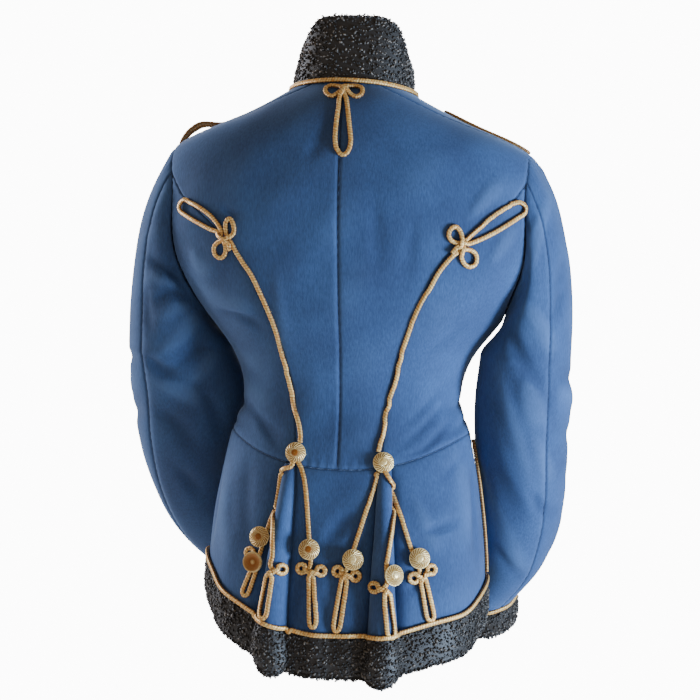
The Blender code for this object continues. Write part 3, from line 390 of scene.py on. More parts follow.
def unit(vectors: Grid) -> Grid:
    """Scale vectors to length one."""
    return vectors / np.maximum(np.linalg.norm(vectors, axis=-1, keepdims=True), 1e-9)


def mix(low: Grid | float, high: Grid | float, share: Grid | float) -> Grid | float:
    """Blend two values by a share from 0 to 1."""
    return low * (1 - share) + high * share


def leaned(points: Grid) -> Grid:
    """Shift points with the garment, which hangs a little askew."""
    x, z = points[..., 0], points[..., 2]
    aside = LEAN * np.clip(z, LEAN_END, 0) - COLLAR_LEAN * np.maximum(z, 0)
    fade = np.clip((z - LEAN_END) / TILT_FADE, 0, 1)
    return points + np.stack([aside, 0 * aside, SHOULDER_TILT * fade * x], axis=-1)


def rounded(value: Grid, power: float) -> Grid:
    """Raise a sine or cosine to a power and keep its sign, which squares off a circle."""
    return np.sign(value) * np.abs(value) ** power


def between(rows: Iterable[Ring | Arm], level: Grid) -> dict[str, Grid]:
    """Return each size of a table's rows, read along a smooth curve through them."""
    rows = list(rows)
    return {size.name: spline([getattr(row, size.name) for row in rows], level)
            for size in fields(rows[0])}


def spline(values: Grid, place: Grid) -> Grid:
    """Read a smooth curve through equally spaced values.

    Args:
        values: the values, along the first axis.
        place: where to read, counted in rows.

    Returns:
        The curve at each place.
    """
    values = np.asarray(values, float)
    padded = np.concatenate([[2 * values[0] - values[1]], values, [2 * values[-1] - values[-2]]])
    index = np.clip(np.floor(place).astype(int), 0, len(values) - 2)
    t = np.asarray(place) - index
    if values.ndim > 1:
        t = t[..., None]
    p0, p1, p2, p3 = (padded[index + k] for k in range(4))
    bend = (2 * p0 - 5 * p1 + 4 * p2 - p3) * t * t + (3 * p1 - p0 - 3 * p2 + p3) * t ** 3
    return 0.5 * (2 * p1 + (p2 - p0) * t + bend)


def lengths_along(points: Grid) -> Grid:
    """Return how far each point of a route is from its start."""
    steps = np.linalg.norm(np.diff(points, axis=0), axis=1)
    return np.concatenate([[0.0], np.cumsum(steps)])


def even_route(route: Grid, step: float, closed: bool = False) -> Grid:
    """Return evenly spaced points on a smooth curve through a route.

    Args:
        route: the points to pass through, one a row.
        step: the wanted spacing in millimetres.
        closed: whether the curve comes back to its start.

    Returns:
        The new points; a closed route doesn't repeat its first point.
    """
    fine_steps = 14
    points = np.asarray(route, float)
    if closed:
        points = np.concatenate([points[-3:], points, points[:4]])
    fine = spline(points, np.linspace(0, len(points) - 1, (len(points) - 1) * fine_steps + 1))
    if closed:
        fine = fine[3 * fine_steps:-3 * fine_steps]
    along = lengths_along(fine)
    count = max(int(round(along[-1] / step)), 2)
    want = np.linspace(0, along[-1], count + 1)
    even = np.stack([np.interp(want, along, fine[:, k]) for k in range(fine.shape[1])], axis=1)
    return even[:-1] if closed else even


def edged(length: float, spacing: float) -> Grid:
    """Divide a length, closely at both ends, where a seam turns the cloth in.

    Args:
        length: in millimetres.
        spacing: the usual distance between two places.

    Returns:
        The places, as shares of the length.
    """
    near = np.array([0.0, 0.7, 1.6, 2.8])
    if length < 4 * near[-1]:
        return np.linspace(0, 1, 7)
    count = max(int(round((length - 2 * near[-1]) / spacing)), 2)
    middle = np.linspace(near[-1], length - near[-1], count + 1)
    return np.concatenate([near[:-1], middle, length - near[:-1][::-1]]) / length


def edge_distance(grid: Grid, axis: int) -> tuple[Grid, Grid]:
    """Measure a grid from its edges.

    Args:
        grid: points by row and column.
        axis: the axis to measure along.

    Returns:
        The distance of each point from the axis's start, and from its end.
    """
    steps = np.linalg.norm(np.diff(grid, axis=axis), axis=-1)
    pad = [(0, 0), (0, 0)]
    pad[axis] = (1, 0)
    along = np.pad(np.cumsum(steps, axis=axis), pad)
    return along, along.max(axis=axis, keepdims=True) - along


def wall(outer: Grid, inner: Grid, closed: bool = False) -> tuple[Grid, Grid]:
    """Join an outer and an inner grid of points to one closed wall.

    Args:
        outer: the outer surface's points, by row and column.
        inner: the inner surface's points, of the same shape.
        closed: whether the last column joins the first.

    Returns:
        The points, outer ones first, and the four point numbers of each face, facing out.
    """
    rows, columns = outer.shape[:2]
    shift = rows * columns
    number = np.arange(shift).reshape(rows, columns)
    if closed:
        number = np.concatenate([number, number[:, :1]], axis=1)
    a, b, c, d = number[:-1, :-1], number[:-1, 1:], number[1:, 1:], number[1:, :-1]
    front = np.stack([a, b, c, d], -1).reshape(-1, 4)
    faces = [front, front[:, ::-1] + shift]
    rims = [(number[0], 1), (number[-1], -1)]
    if not closed:
        rims += [(number[:, 0], -1), (number[:, -1], 1)]
    for line, turn in rims:
        rim = np.stack([line[:-1], line[1:], line[1:] + shift, line[:-1] + shift], -1)
        faces.append(rim[:, ::turn])
    faces = np.concatenate(faces)
    points = np.concatenate([outer.reshape(-1, 3), inner.reshape(-1, 3)])
    return points, faces if volume(points, faces) > 0 else faces[:, ::-1]


def volume(points: Grid, faces: Grid) -> float:
    """Return the signed volume inside a closed mesh of four-sided faces."""
    a, b, c, d = (points[faces[:, k]] for k in range(4))
    halves = np.einsum("ij,ij->i", a, np.cross(b, c)) + np.einsum("ij,ij->i", a, np.cross(c, d))
    return float(halves.sum() / 6)


def middle_line(grid: Grid) -> Grid:
    """Return the point of the coat's own middle at the height of each row of a grid."""
    core = np.zeros((len(grid), 3))
    core[:, 2] = grid[..., 2].mean(1)
    return core


def grid_normals(grid: Grid, core: Grid, closed: bool = False) -> Grid:
    """Return a grid's surface directions, pointing away from its core.

    Args:
        grid: the surface's points, by row and column.
        core: a point inside the form for each row.
        closed: whether the last column joins the first.

    Returns:
        A direction of length one for each point.
    """
    down = np.gradient(grid, axis=0)
    if closed:
        around = (np.roll(grid, -1, axis=1) - np.roll(grid, 1, axis=1)) / 2
    else:
        around = np.gradient(grid, axis=1)
    normals = unit(np.cross(around, down))
    away = np.einsum("ijk,ijk->ij", normals, grid - core[:, None, :]).sum()
    return normals if away > 0 else -normals


def crease_relief(points: Grid, normals: Grid, creases: tuple[Crease, ...]) -> Grid:
    """Return how far the creases lift each point of a surface.

    Args:
        points: the surface's points in millimetres, one a row.
        normals: its directions at those points.
        creases: the creases that may lie on it.

    Returns:
        The lift of each point along its direction.
    """
    lift = np.zeros(len(points))
    for crease in creases:
        place = np.stack([points @ crease.view.across - crease.view.middle, points[:, 2]], axis=1)
        route = even_route(np.array(crease.route, float), 7.0)
        reach = 3 * crease.width
        low, high = route.min(0) - reach, route.max(0) + reach
        near = np.where(np.all((place > low) & (place < high), axis=1))[0]
        if not len(near):
            continue
        spot = place[near]
        best = np.full(len(near), 1e9)
        share = np.zeros(len(near))
        for k, (start, end) in enumerate(zip(route, route[1:])):
            way = end - start
            t = np.clip((spot - start) @ way / (way @ way), 0, 1)
            apart = np.linalg.norm(spot - start - t[:, None] * way, axis=1)
            closer = apart < best
            best = np.where(closer, apart, best)
            share = np.where(closer, (k + t) / (len(route) - 1), share)
        ends = np.sin(np.pi * np.clip(share, 0.03, 0.97)) ** 0.8
        width = crease.width * (0.75 + 0.5 * share)
        spread = best / width
        facing = np.clip(normals[near] @ crease.view.towards * 1.3 - 0.2, 0, 1)
        lift[near] += (crease.depth * ends * facing * np.exp(-spread ** 2)
                       * (1 - 0.35 * spread ** 2))
    return lift


def slack(points: Grid) -> Grid:
    """Return the slight unevenness of cloth between its creases."""
    x, y, z = points.T
    return (0.45 * np.sin(x / 17 + z / 31 + 1.1) * np.sin(z / 23 - y / 29)
            + 0.3 * np.sin((x - y) / 11 + z / 41 + 0.4) * np.sin(z / 37 + 2.0))


def placed(name: str, data: bpy.types.ID) -> bpy.types.Object:
    """Return a new object of the scene that shows a mesh, a lamp or a camera."""
    thing = bpy.data.objects.new(name, data)
    bpy.context.scene.collection.objects.link(thing)
    return thing


def make_piece(name: str, points: Grid, faces: list, nodes: tuple[str, ...], finish: Finish,
               attributes: dict[str, Grid]) -> bpy.types.Object:
    """Make one visible piece that stands for its CAD nodes.

    Args:
        name: the piece's name.
        points: its points in millimetres.
        faces: the point numbers of each face.
        nodes: the CAD nodes that it replaces.
        finish: its finish, which gives its material.
        attributes: numbers for each point, by name.

    Returns:
        The new object, riding on the root body.
    """
    mesh = bpy.data.meshes.new(name)
    mesh.from_pydata((np.asarray(points) * MM).tolist(), [], faces)
    mesh.polygons.foreach_set("use_smooth", np.ones(len(mesh.polygons), bool))
    for key, values in attributes.items():
        kept = mesh.attributes.new(key, "FLOAT", "POINT").data
        kept.foreach_set("value", np.asarray(values, np.float32))
    piece = placed(name, mesh)
    mesh.materials.append(finish.material())
    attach(piece, "root")
    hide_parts(*nodes)
    log.info("%s: %d triangles", name, sum(len(face) - 2 for face in faces))
    return piece


def srgb(code: str) -> tuple[float, float, float, float]:
    """Turn an sRGB hex value such as #1a2b3c into a linear colour."""
    parts = [int(code[k:k + 2], 16) / 255 for k in (1, 3, 5)]
    linear = [p / 12.92 if p <= 0.04045 else ((p + 0.055) / 1.055) ** 2.4 for p in parts]
    return (linear[0], linear[1], linear[2], 1.0)


def add_node(tree: Tree, kind: str, settings: dict | None = None, links: dict | None = None) -> Node:
    """Add a shader node with its settings and links.

    Args:
        tree: the material's node tree.
        kind: the node's type, without the ShaderNode that each such type starts with.
        settings: values by property name, or by input name or number.
        links: a socket, or a node for its first socket, by the input's name or number.

    Returns:
        The new node.
    """
    node = tree.nodes.new("ShaderNode" + kind)
    for key, value in (settings or {}).items():
        if isinstance(key, str) and hasattr(node, key):
            setattr(node, key, value)
        else:
            node.inputs[key].default_value = value
    for key, source in (links or {}).items():
        socket = source.outputs[0] if isinstance(source, Node) else source
        tree.links.new(socket, node.inputs[key])
    return node


def new_material(name: str, surface: Callable[[Tree], Node]) -> bpy.types.Material:
    """Return a material whose surface is the shader that a function adds to its tree."""
    material = bpy.data.materials.new(name)
    material.use_nodes = True
    tree = material.node_tree
    tree.nodes.clear()
    add_node(tree, "OutputMaterial", links={"Surface": surface(tree)})
    return material


def ramp(tree: Tree, source: Node | Socket, stops: tuple[tuple[float, str], ...]) -> Node:
    """Read a colour from a value through a row of stops.

    Args:
        tree: the material's node tree.
        source: what gives the value.
        stops: places from 0 to 1, with sRGB colours.

    Returns:
        The node that gives the colour.
    """
    node = add_node(tree, "ValToRGB", links={0: source})
    elements = node.color_ramp.elements
    while len(elements) < len(stops):
        elements.new(0.5)
    for element, (place, code) in zip(elements, stops):
        element.position = place
        element.color = srgb(code)
    return node


@dataclass
class Finish:
    """What every finish has: its name, its slot, and one material."""

    name: str
    slot: str
    made: bpy.types.Material | None = field(default=None, repr=False)

    def material(self) -> bpy.types.Material:
        """Return the finish's material, made the first time that it is asked for."""
        if self.made is None:
            self.made = new_material(self.name, self.surface)
        return self.made

    def surface(self, tree: Tree) -> Node:
        """Add the finish's own nodes; each finish has its own way.

        Args:
            tree: the material's node tree.

        Returns:
            The node of its shader.
        """
        raise NotImplementedError


@dataclass
class WoolBroadcloth(Finish):
    """Milled woollen broadcloth: woven, fulled and brushed, so the nap hides the weave.

    The eye sees a matt, slightly streaky blue that lightens where the nap catches the light and
    where the cloth beside the seams has been rubbed. Painted light lightens the crease ridges, and
    painted shade darkens the crease troughs and the seam lines.
    """

    face: str = "#415f8d"
    dim: str = "#384f78"
    # rubbed: real wear beside the seams and painted light on crease ridges; shade: painted shade in
    # troughs and seams
    rubbed: str = "#6b8dbd"
    shade: str = "#1c2b48"
    streak: str = "#9a9a9a"
    bloom: str = "#a9c1e6"
    nap_mm: float = 1.6        # real nap is about 0.3 mm; drawn as coarse as it needs to show
    nap_fall: float = 0.22     # heights count for this share, as the nap is brushed down in streaks
    cloud_mm: float = 71.43    # the patches where the dye took differently
    roughness: float = 0.86
    sheen: float = 0.35

    def surface(self, tree: Tree) -> Node:
        """Add the broadcloth: its nap, its clouding, and the rubbing, painted light and painted shade of
        each point.
        """
        place = add_node(tree, "TexCoord").outputs["Object"]
        grain = add_node(tree, "Mapping", {"Scale": (1.0, 1.0, self.nap_fall)}, {"Vector": place})
        nap = add_node(tree, "TexNoise", {"Scale": 1 / (self.nap_mm * MM), "Detail": 3.0,
                                          "Roughness": 0.65}, {"Vector": grain})
        cloud = add_node(tree, "TexNoise", {"Scale": 1 / (self.cloud_mm * MM), "Detail": 4.0},
                         {"Vector": place})
        base = ramp(tree, cloud, ((0.3, self.dim), (0.7, self.face)))
        streak = ramp(tree, nap, ((0.3, self.streak), (0.72, "#ffffff")))
        streaked = add_node(tree, "Mix", {"data_type": "RGBA", "blend_type": "MULTIPLY", 0: 0.5},
                            {6: base, 7: streak})
        # above zero: real rub and painted light on crease ridges; below zero: painted shade
        wear = add_node(tree, "Attribute", {"attribute_name": "wear"}).outputs["Fac"]
        up = add_node(tree, "Math", {"operation": "MAXIMUM", 1: 0.0}, {0: wear})
        turned = add_node(tree, "Math", {"operation": "MULTIPLY", 1: -1.0}, {0: wear})
        down = add_node(tree, "Math", {"operation": "MAXIMUM", 1: 0.0}, {0: turned})
        lighter = add_node(tree, "Mix", {"data_type": "RGBA", 7: srgb(self.rubbed)},
                           {0: up, 6: streaked.outputs[2]})
        darker = add_node(tree, "Mix", {"data_type": "RGBA", 7: srgb(self.shade)},
                          {0: down, 6: lighter.outputs[2]})
        bump = add_node(tree, "Bump", {"Strength": 0.35, "Distance": 0.6 * MM}, {"Height": nap})
        return add_node(tree, "BsdfPrincipled",
                        {"Roughness": self.roughness, "Sheen Weight": self.sheen,
                         "Sheen Roughness": 0.45, "Sheen Tint": srgb(self.bloom),
                         "Specular IOR Level": 0.25},
                        {"Base Color": darker.outputs[2], "Normal": bump})


@dataclass
class Lambskin(Finish):
    """Dressed curly lambskin: each lock is a glossy tube of hair, dark brown to black."""

    root: str = "#110e0c"
    lock: str = "#26211d"
    # the lightest stop, reached by random tone and by painted light on the locks' crowns
    tip: str = "#7e766d"
    gloss: str = "#8a8784"
    hair_mm: float = 0.6667    # real hair is about 0.03 mm; drawn as coarse as it needs to show
    roughness: float = 0.55

    def surface(self, tree: Tree) -> Node:
        """Add the lambskin, by the tone that each lock keeps, with painted light on its crown."""
        place = add_node(tree, "TexCoord").outputs["Object"]
        lock = add_node(tree, "Attribute", {"attribute_name": "lock"}).outputs["Fac"]
        base = ramp(tree, lock, ((0.0, self.root), (0.5, self.lock), (1.0, self.tip)))
        hair = add_node(tree, "TexNoise", {"Scale": 1 / (self.hair_mm * MM), "Detail": 2.0},
                        {"Vector": place})
        bump = add_node(tree, "Bump", {"Strength": 0.5, "Distance": 0.4 * MM}, {"Height": hair})
        return add_node(tree, "BsdfPrincipled",
                        {"Roughness": self.roughness, "Specular IOR Level": 0.6,
                         "Sheen Weight": 0.15, "Sheen Roughness": 0.3, "Sheen Tint": srgb(self.gloss)},
                        {"Base Color": base, "Normal": bump})


@dataclass
class GoldGimp(Finish):
    """Gimp cord: metal thread wound over a cotton core, tarnished red-brown between the turns."""

    thread: str = "#eda64f"
    bright: str = "#ffdf92"
    # tarnish: real between the turns, and painted shade in the top groove and along the foot
    tarnish: str = "#5e2c0c"
    patch_mm: float = 2.381    # how long a stretch of thread keeps one brightness
    roughness: float = 0.4
    metallic: float = 0.3
    tick: float = 0.55         # darker turns for each turn of thread

    def surface(self, tree: Tree) -> Node:
        """Add the gimp: its turns of thread, and the tarnish and painted shade of each point."""
        place = add_node(tree, "TexCoord").outputs["Object"]
        wrap = add_node(tree, "Attribute", {"attribute_name": "wrap"}).outputs["Fac"]
        turns = add_node(tree, "Attribute", {"attribute_name": "turns"}).outputs["Fac"]
        patch = add_node(tree, "TexNoise", {"Scale": 1 / (self.patch_mm * MM), "Detail": 3.0},
                         {"Vector": place})
        base = ramp(tree, patch, ((0.36, self.thread), (0.64, self.bright)))
        wind = add_node(tree, "Math", {"operation": "MULTIPLY", 1: math.pi * self.tick}, {0: turns})
        wave = add_node(tree, "Math", {"operation": "COSINE"}, {0: wind})
        near = add_node(tree, "Math", {"operation": "ABSOLUTE"}, {0: wave})
        thin = add_node(tree, "Math", {"operation": "POWER", 1: 7.0}, {0: near})
        faint = add_node(tree, "Math", {"operation": "MULTIPLY"}, {0: thin, 1: patch})
        dark = add_node(tree, "Math", {"operation": "MULTIPLY_ADD", 1: 0.8, "use_clamp": True},
                        {0: faint, 2: wrap})
        worn_and_shaded = add_node(tree, "Mix", {"data_type": "RGBA", 7: srgb(self.tarnish)}, {0: dark, 6: base})
        angle = add_node(tree, "Math", {"operation": "MULTIPLY", 1: 2 * math.pi}, {0: turns})
        thread = add_node(tree, "Math", {"operation": "SINE"}, {0: angle})
        bump = add_node(tree, "Bump", {"Strength": 0.4, "Distance": 0.3 * MM}, {"Height": thread})
        return add_node(tree, "BsdfPrincipled",
                        {"Roughness": self.roughness, "Metallic": self.metallic},
                        {"Base Color": worn_and_shaded.outputs[2], "Normal": bump})


@dataclass
class GiltBrass(Finish):
    """Stamped sheet brass, fire-gilt: bright yellow, darker where fingers rubbed its centre."""

    gilt: str = "#ffebab"
    dull: str = "#f3cf7c"
    # rubbed: real rub on the plain centre, and painted shade in the rib grooves and by side
    rubbed: str = "#94571a"
    smudge_mm: float = 2.381   # finger marks on the dome
    smoothest: float = 0.22
    roughest: float = 0.42
    metallic: float = 0.35

    def surface(self, tree: Tree) -> Node:
        """Add the gilt brass, by its rubbing and painted light and shade, kept by each point."""
        place = add_node(tree, "TexCoord").outputs["Object"]
        disc = add_node(tree, "Attribute", {"attribute_name": "disc"}).outputs["Fac"]
        smudge = add_node(tree, "TexNoise", {"Scale": 1 / (self.smudge_mm * MM), "Detail": 4.0},
                          {"Vector": place})
        base = ramp(tree, smudge, ((0.35, self.dull), (0.6, self.gilt)))
        worn_and_shaded = add_node(tree, "Mix", {"data_type": "RGBA", 7: srgb(self.rubbed)}, {0: disc, 6: base})
        rough = add_node(tree, "MapRange", {"To Min": self.smoothest, "To Max": self.roughest},
                         {"Value": smudge})
        return add_node(tree, "BsdfPrincipled", {"Metallic": self.metallic},
                        {"Base Color": worn_and_shaded.outputs[2], "Roughness": rough})


@dataclass(frozen=True)
class Coat:
    """The coat's surface, as a function of an angle round it and a level down it.

    The angle is zero at the centre back. Levels 0 to 8 run from the neck to the waist seam, 8 to 9
    down the skirt, and past 9 down the fur.
    """

    roundness: float = 0.87
    waist: int = LEVELS["waist seam"]
    shoulder: int = LEVELS["shoulder"]
    underarm: int = LEVELS["underarm"]
    fur_height: float = 44.0
    seam_neck: float = 27.0    # the shoulder seam's angle at the neck
    seam_arm: float = 84.0     # and at the top of the armhole
    armhole_low: float = 96.0  # the angle of the armhole's lowest point
    armhole_back: float = 27.0
    armhole_front: float = 18.0
    side_seam: float = 97.0
    feel: float = 1.5          # directions are felt for over this angle

    def section(self, ring: dict[str, Grid], angle: Grid, crown: float | Grid = 2.0) -> Grid:
        """Work out points of a section.

        Args:
            ring: the section's sizes.
            angle: the angles round it.
            crown: how square its height is round the back.

        Returns:
            The points, with a last axis of three.
        """
        turn = np.radians(angle)
        s, c = np.sin(turn), np.cos(turn)
        x = rounded(s, self.roundness) * ring["half_width"]
        y = np.where(c > 0, ring["y_back"], ring["y_front"]) * np.abs(c) ** self.roundness
        end = np.where(c > 0, ring["z_back"], ring["z_front"])
        z = mix(ring["z_side"], end, 1 - np.abs(s) ** crown)
        return np.stack(np.broadcast_arrays(x, y, z), axis=-1)

    def skirt_sizes(self, drop: Grid) -> dict[str, Grid]:
        """Return the skirt's section at a share of its length."""
        top = BODY_RINGS["waist seam"]
        ease = 1 - (1 - np.clip(drop, 0, 1)) ** 1.6
        return {size.name: mix(getattr(top, size.name), getattr(HEM_RING, size.name), ease)
                for size in fields(Ring)}

    def hem_height(self, angle: Grid) -> Grid:
        """Return the height of the hem cord, smoothed over a few degrees."""
        turned = (np.asarray(angle, float) + 180) % 360 - 180
        places, heights = zip(*HEM_LINE)
        shifts = [np.interp(np.clip(turned + shift, -180, 180), places, heights)
                  for shift in (-6, -2, 2, 6)]
        return sum(shifts) / len(shifts)

    def fold_depth(self, angle: Grid, drop: Grid) -> Grid:
        """Return how far the soft folds of the skirt stand out."""
        total = 0.0
        for centre, spread, depth in SKIRT_FOLDS:
            apart = ((angle - centre + 180) % 360 - 180) / spread
            total = total + depth * np.exp(-apart * apart)
        return total * drop * drop

    def points(self, angle: Grid, level: Grid) -> Grid:
        """Return points of the coat.

        Args:
            angle: angles round the coat.
            level: levels down it, of the same shape.

        Returns:
            The points, with a last axis of three.
        """
        angle, level = np.broadcast_arrays(np.asarray(angle, float), np.asarray(level, float))
        body = self.section(between(BODY_RINGS.values(), np.minimum(level, self.waist)), angle)
        drop = np.maximum(level - self.waist, 0)
        held = np.minimum(drop, 1)
        sizes = self.skirt_sizes(held)
        flat = self.section(sizes, angle)
        out = unit(np.stack([flat[..., 0] / sizes["half_width"], flat[..., 1] / HEM_RING.y_back,
                             0 * drop], axis=-1))
        skirt = flat + out * self.fold_depth(angle, held)[..., None]
        waist = between(BODY_RINGS.values(), np.full_like(level, self.waist))
        top, hem = self.section(waist, angle)[..., 2], self.hem_height(angle)
        skirt[..., 2] = np.where(drop <= 1, mix(top, hem, held), hem - (drop - 1) * self.fur_height)
        return leaned(np.where((level <= self.waist)[..., None], body, skirt))

    def round_way(self, angle: Grid, level: Grid) -> Grid:
        """Return the way round the coat at its points."""
        return self.points(angle + self.feel, level) - self.points(angle - self.feel, level)

    def away(self, ways: Grid, angle: Grid, level: Grid) -> Grid:
        """Turn ways at the coat's points away from its middle, with length one."""
        place = self.points(angle, level)
        return unit(ways * np.sign((ways[..., :2] * place[..., :2]).sum(-1, keepdims=True)))

    def normals(self, angle: Grid, level: Grid) -> Grid:
        """Return the coat's own directions at its points."""
        down = self.points(angle, level + 0.04) - self.points(angle, np.maximum(level - 0.04, 0))
        return self.away(np.cross(self.round_way(angle, level), down), angle, level)

    def outward(self, angle: Grid, level: Grid) -> Grid:
        """Return the level direction away from the coat at its points."""
        x, y = np.moveaxis(self.round_way(angle, level)[..., :2], -1, 0)
        return self.away(np.stack([y, -x, 0 * x], axis=-1), angle, level)

    def angle_at(self, x: Grid, level: Grid) -> Grid:
        """Return the angle at which the coat is x from its middle."""
        level = np.asarray(level, float)
        body = between(BODY_RINGS.values(), np.minimum(level, self.waist))["half_width"]
        skirt = self.skirt_sizes(np.maximum(level - self.waist, 0))["half_width"]
        share = np.minimum(np.abs(x) / np.where(level <= self.waist, body, skirt), 1.0)
        return np.degrees(np.arcsin(share ** (1 / self.roundness)))

    def armhole(self, turn: Grid) -> tuple[Grid, Grid, Grid]:
        """Work out the edge of the armhole.

        Args:
            turn: places in it, from 0 at its top to 1 at its lowest point.

        Returns:
            The level, the angle of the back edge, and the angle of the front edge.
        """
        share = (1 - np.cos(np.pi * turn)) / 2
        middle = mix(self.seam_arm, self.armhole_low, share)
        opening = np.clip(np.sin(np.pi * turn), 0, 1) ** 0.9
        level = mix(self.shoulder, self.underarm, share)
        return level, middle - self.armhole_back * opening, middle + self.armhole_front * opening

    def shoulder_seam(self, level: Grid) -> Grid:
        """Return the angle of the shoulder seam, from the neck to the armhole."""
        return mix(self.seam_neck, self.seam_arm, level / self.shoulder)

    def back_edge(self, level: Grid, turn: Grid) -> Grid:
        """Return the angle of the back panel's outer edge.

        Args:
            level: the level of each row.
            turn: its place in the armhole, or a negative number above it.

        Returns:
            The angle of the shoulder seam, then the armhole, then the side back seam.
        """
        corner, leaves = 0.3, 0.4      # the edge turns off between these places in the armhole
        armhole = self.armhole(np.clip(turn, 0, 1))[1]
        levels, across = zip(*SIDE_BACK_SEAM)
        seam = self.angle_at(np.interp(level, levels, across), level)
        seam_start = self.angle_at(across[0], self.armhole(leaves)[0])
        share = np.clip((turn - corner) / (leaves - corner), 0, 1)
        tip = mix(self.armhole(corner)[1], seam_start, share)
        edge = np.where(turn < corner, armhole, np.where(turn < leaves, tip, seam))
        return np.where(turn < 0, self.shoulder_seam(level), edge)


@dataclass
class Tailor:
    """Turns grids of points into cloth with creases, seams and a real wall."""

    finish: WoolBroadcloth
    cloth: float = 2.4
    spacing: float = 4.4
    seam_gap: float = 0.3
    allowance: float = 2.2     # the cloth kept beyond a seam, on the inside
    roll: float = 1.3          # how far a seam draws the edge of a panel in
    roll_width: float = 2.0
    crease_depth: float = 1.7
    ridge: float = 2.0         # no crease stands out by more than this
    dent: float = 4.6          # or sinks by more than this
    pucker: float = 0.28
    pucker_length: float = 10.5
    pucker_reach: float = 9.0  # from a seam
    flattening: float = 7.0    # how far a seam flattens the creases beside it
    rub: float = 3.4           # the rubbed ridge beside a seam is this far from it
    surfaces: list[tuple[Grid, Grid]] = field(default_factory=list)

    def tailor(self, name: str, grid: Grid, normals: Grid, creases: tuple[Crease, ...],
               held: Held = Held.HUNG, free: tuple[Edge, ...] = ()) -> None:
        """Crease a panel, draw its edges in at the seams, and make it.

        Args:
            name: the CAD node that the panel stands for.
            grid: the panel's smooth outer surface.
            normals: its directions.
            creases: the creases that may lie on it.
            held: how the cloth is held.
            free: edges that aren't drawn in.
        """
        flat, ways = grid.reshape(-1, 3), normals.reshape(-1, 3)
        relief = self.crease_depth * crease_relief(flat, ways, creases) + slack(flat)
        relief = relief.reshape(grid.shape[:2])
        most = np.where(relief > 0, self.ridge, self.dent)
        relief = most * np.tanh(relief / most)
        down, up = edge_distance(grid, 0)
        left, right = edge_distance(grid, 1)
        sides = {Edge.TOP: (down, left), Edge.BOTTOM: (up, left), Edge.START: (left, down),
                 Edge.END: (right, down)}
        drawn = np.zeros(grid.shape[:2])
        # painted light on crease ridges and painted shade in crease troughs, in step with the relief
        wear = 0.1 * relief
        for edge, (apart, along) in sides.items():
            if edge in free:
                continue
            drawn = np.maximum(drawn, np.exp(-(apart / self.roll_width) ** 2))
            relief = relief * (1 - 0.5 * np.exp(-(apart / self.flattening) ** 2))
            relief += (self.pucker * np.sin(2 * np.pi * along / self.pucker_length + len(name))
                       * np.exp(-(apart / self.pucker_reach) ** 2))
            # a real rubbed stripe beside each seam, and painted shade along the seam line itself
            wear += 0.07 * np.exp(-((apart - self.rub) / 1.6) ** 2) - 0.9 * np.exp(-(apart / 0.9) ** 2)
        beside, below = grid[:-1, 1:] - grid[:-1, :-1], grid[1:, :-1] - grid[:-1, :-1]
        area = np.linalg.norm(np.cross(below, beside), axis=-1).sum()
        cut = ((left + right).max() * MM, (down + up).max() * MM, area * MM * MM)
        outer = grid + normals * (relief - self.roll * drawn)[..., None]
        inner = grid + normals * (relief - self.cloth)[..., None]
        self.trim(outer, inner)
        self.build(name, outer, inner, np.clip(wear, -1, 1), cut, held)

    def trim(self, outer: Grid, inner: Grid) -> None:
        """Draw the face in by half a seam's gap, and leave an allowance of cloth behind it."""
        for edge in Edge:
            line, near = edge.value
            move = unit(outer[near] - outer[line])
            outer[line] = outer[line] + move * self.seam_gap / 2
            inner[line] = inner[line] - move * self.allowance

    def build(self, name: str, outer: Grid, inner: Grid, wear: Grid,
              cut: tuple[float, float, float], held: Held) -> None:
        """Args:
            name: the CAD node that it stands for.
            outer: the cloth's face, by row and column.
            inner: its other side.
            wear: how rubbed each point is, with painted light and shade from the creases and seams.
            cut: its flat width, length and area, in metres.
            held: how it is held; not used.
        """
        points, faces = wall(outer, inner)
        self.surfaces.append((points, faces))
        piece = make_piece("cloth_" + name, points, faces.tolist(), (name,), self.finish,
                           {"wear": np.tile(wear.ravel(), 2)})
        width, length, area = cut
        min(area, width * length)
        log.info("cut of %s: %.3f by %.3f m, %.4f square metres", name, width, length, area)

    def panel_grid(self, coat: Coat, sign: int, level: Grid, start: Grid, end: Grid) -> Grid:
        """Return a panel's points between its start and end angles at each level.

        Args:
            coat: the coat's surface.
            sign: the side of the garment.
            level: the level of each row, closely spaced.
            start: the angle at which each row starts.
            end: the angle at which it ends.

        Returns:
            Evenly spread points, closer together at the edges.
        """
        steps = [np.linalg.norm(np.diff(coat.points(sign * angle, level), axis=0), axis=1)
                 for angle in (start, (start + end) / 2, end)]
        along = np.concatenate([[0.0], np.cumsum(np.maximum.reduce(steps))])
        want = edged(along[-1], self.spacing) * along[-1]
        for corner in (coat.shoulder, coat.underarm):
            if level[0] < corner < level[-1]:
                place = np.interp(corner, level, along)
                want[np.argmin(np.abs(want - place))] = place
        level, start, end = (np.interp(want, along, v) for v in (level, start, end))
        corners = mix(start[:, None], end[:, None], np.linspace(0, 1, 9))
        rough = coat.points(sign * corners, level[:, None])
        width = np.linalg.norm(np.diff(rough, axis=1), axis=-1).sum(1).max()
        share = edged(width, self.spacing)
        return coat.points(sign * mix(start[:, None], end[:, None], share), level[:, None])


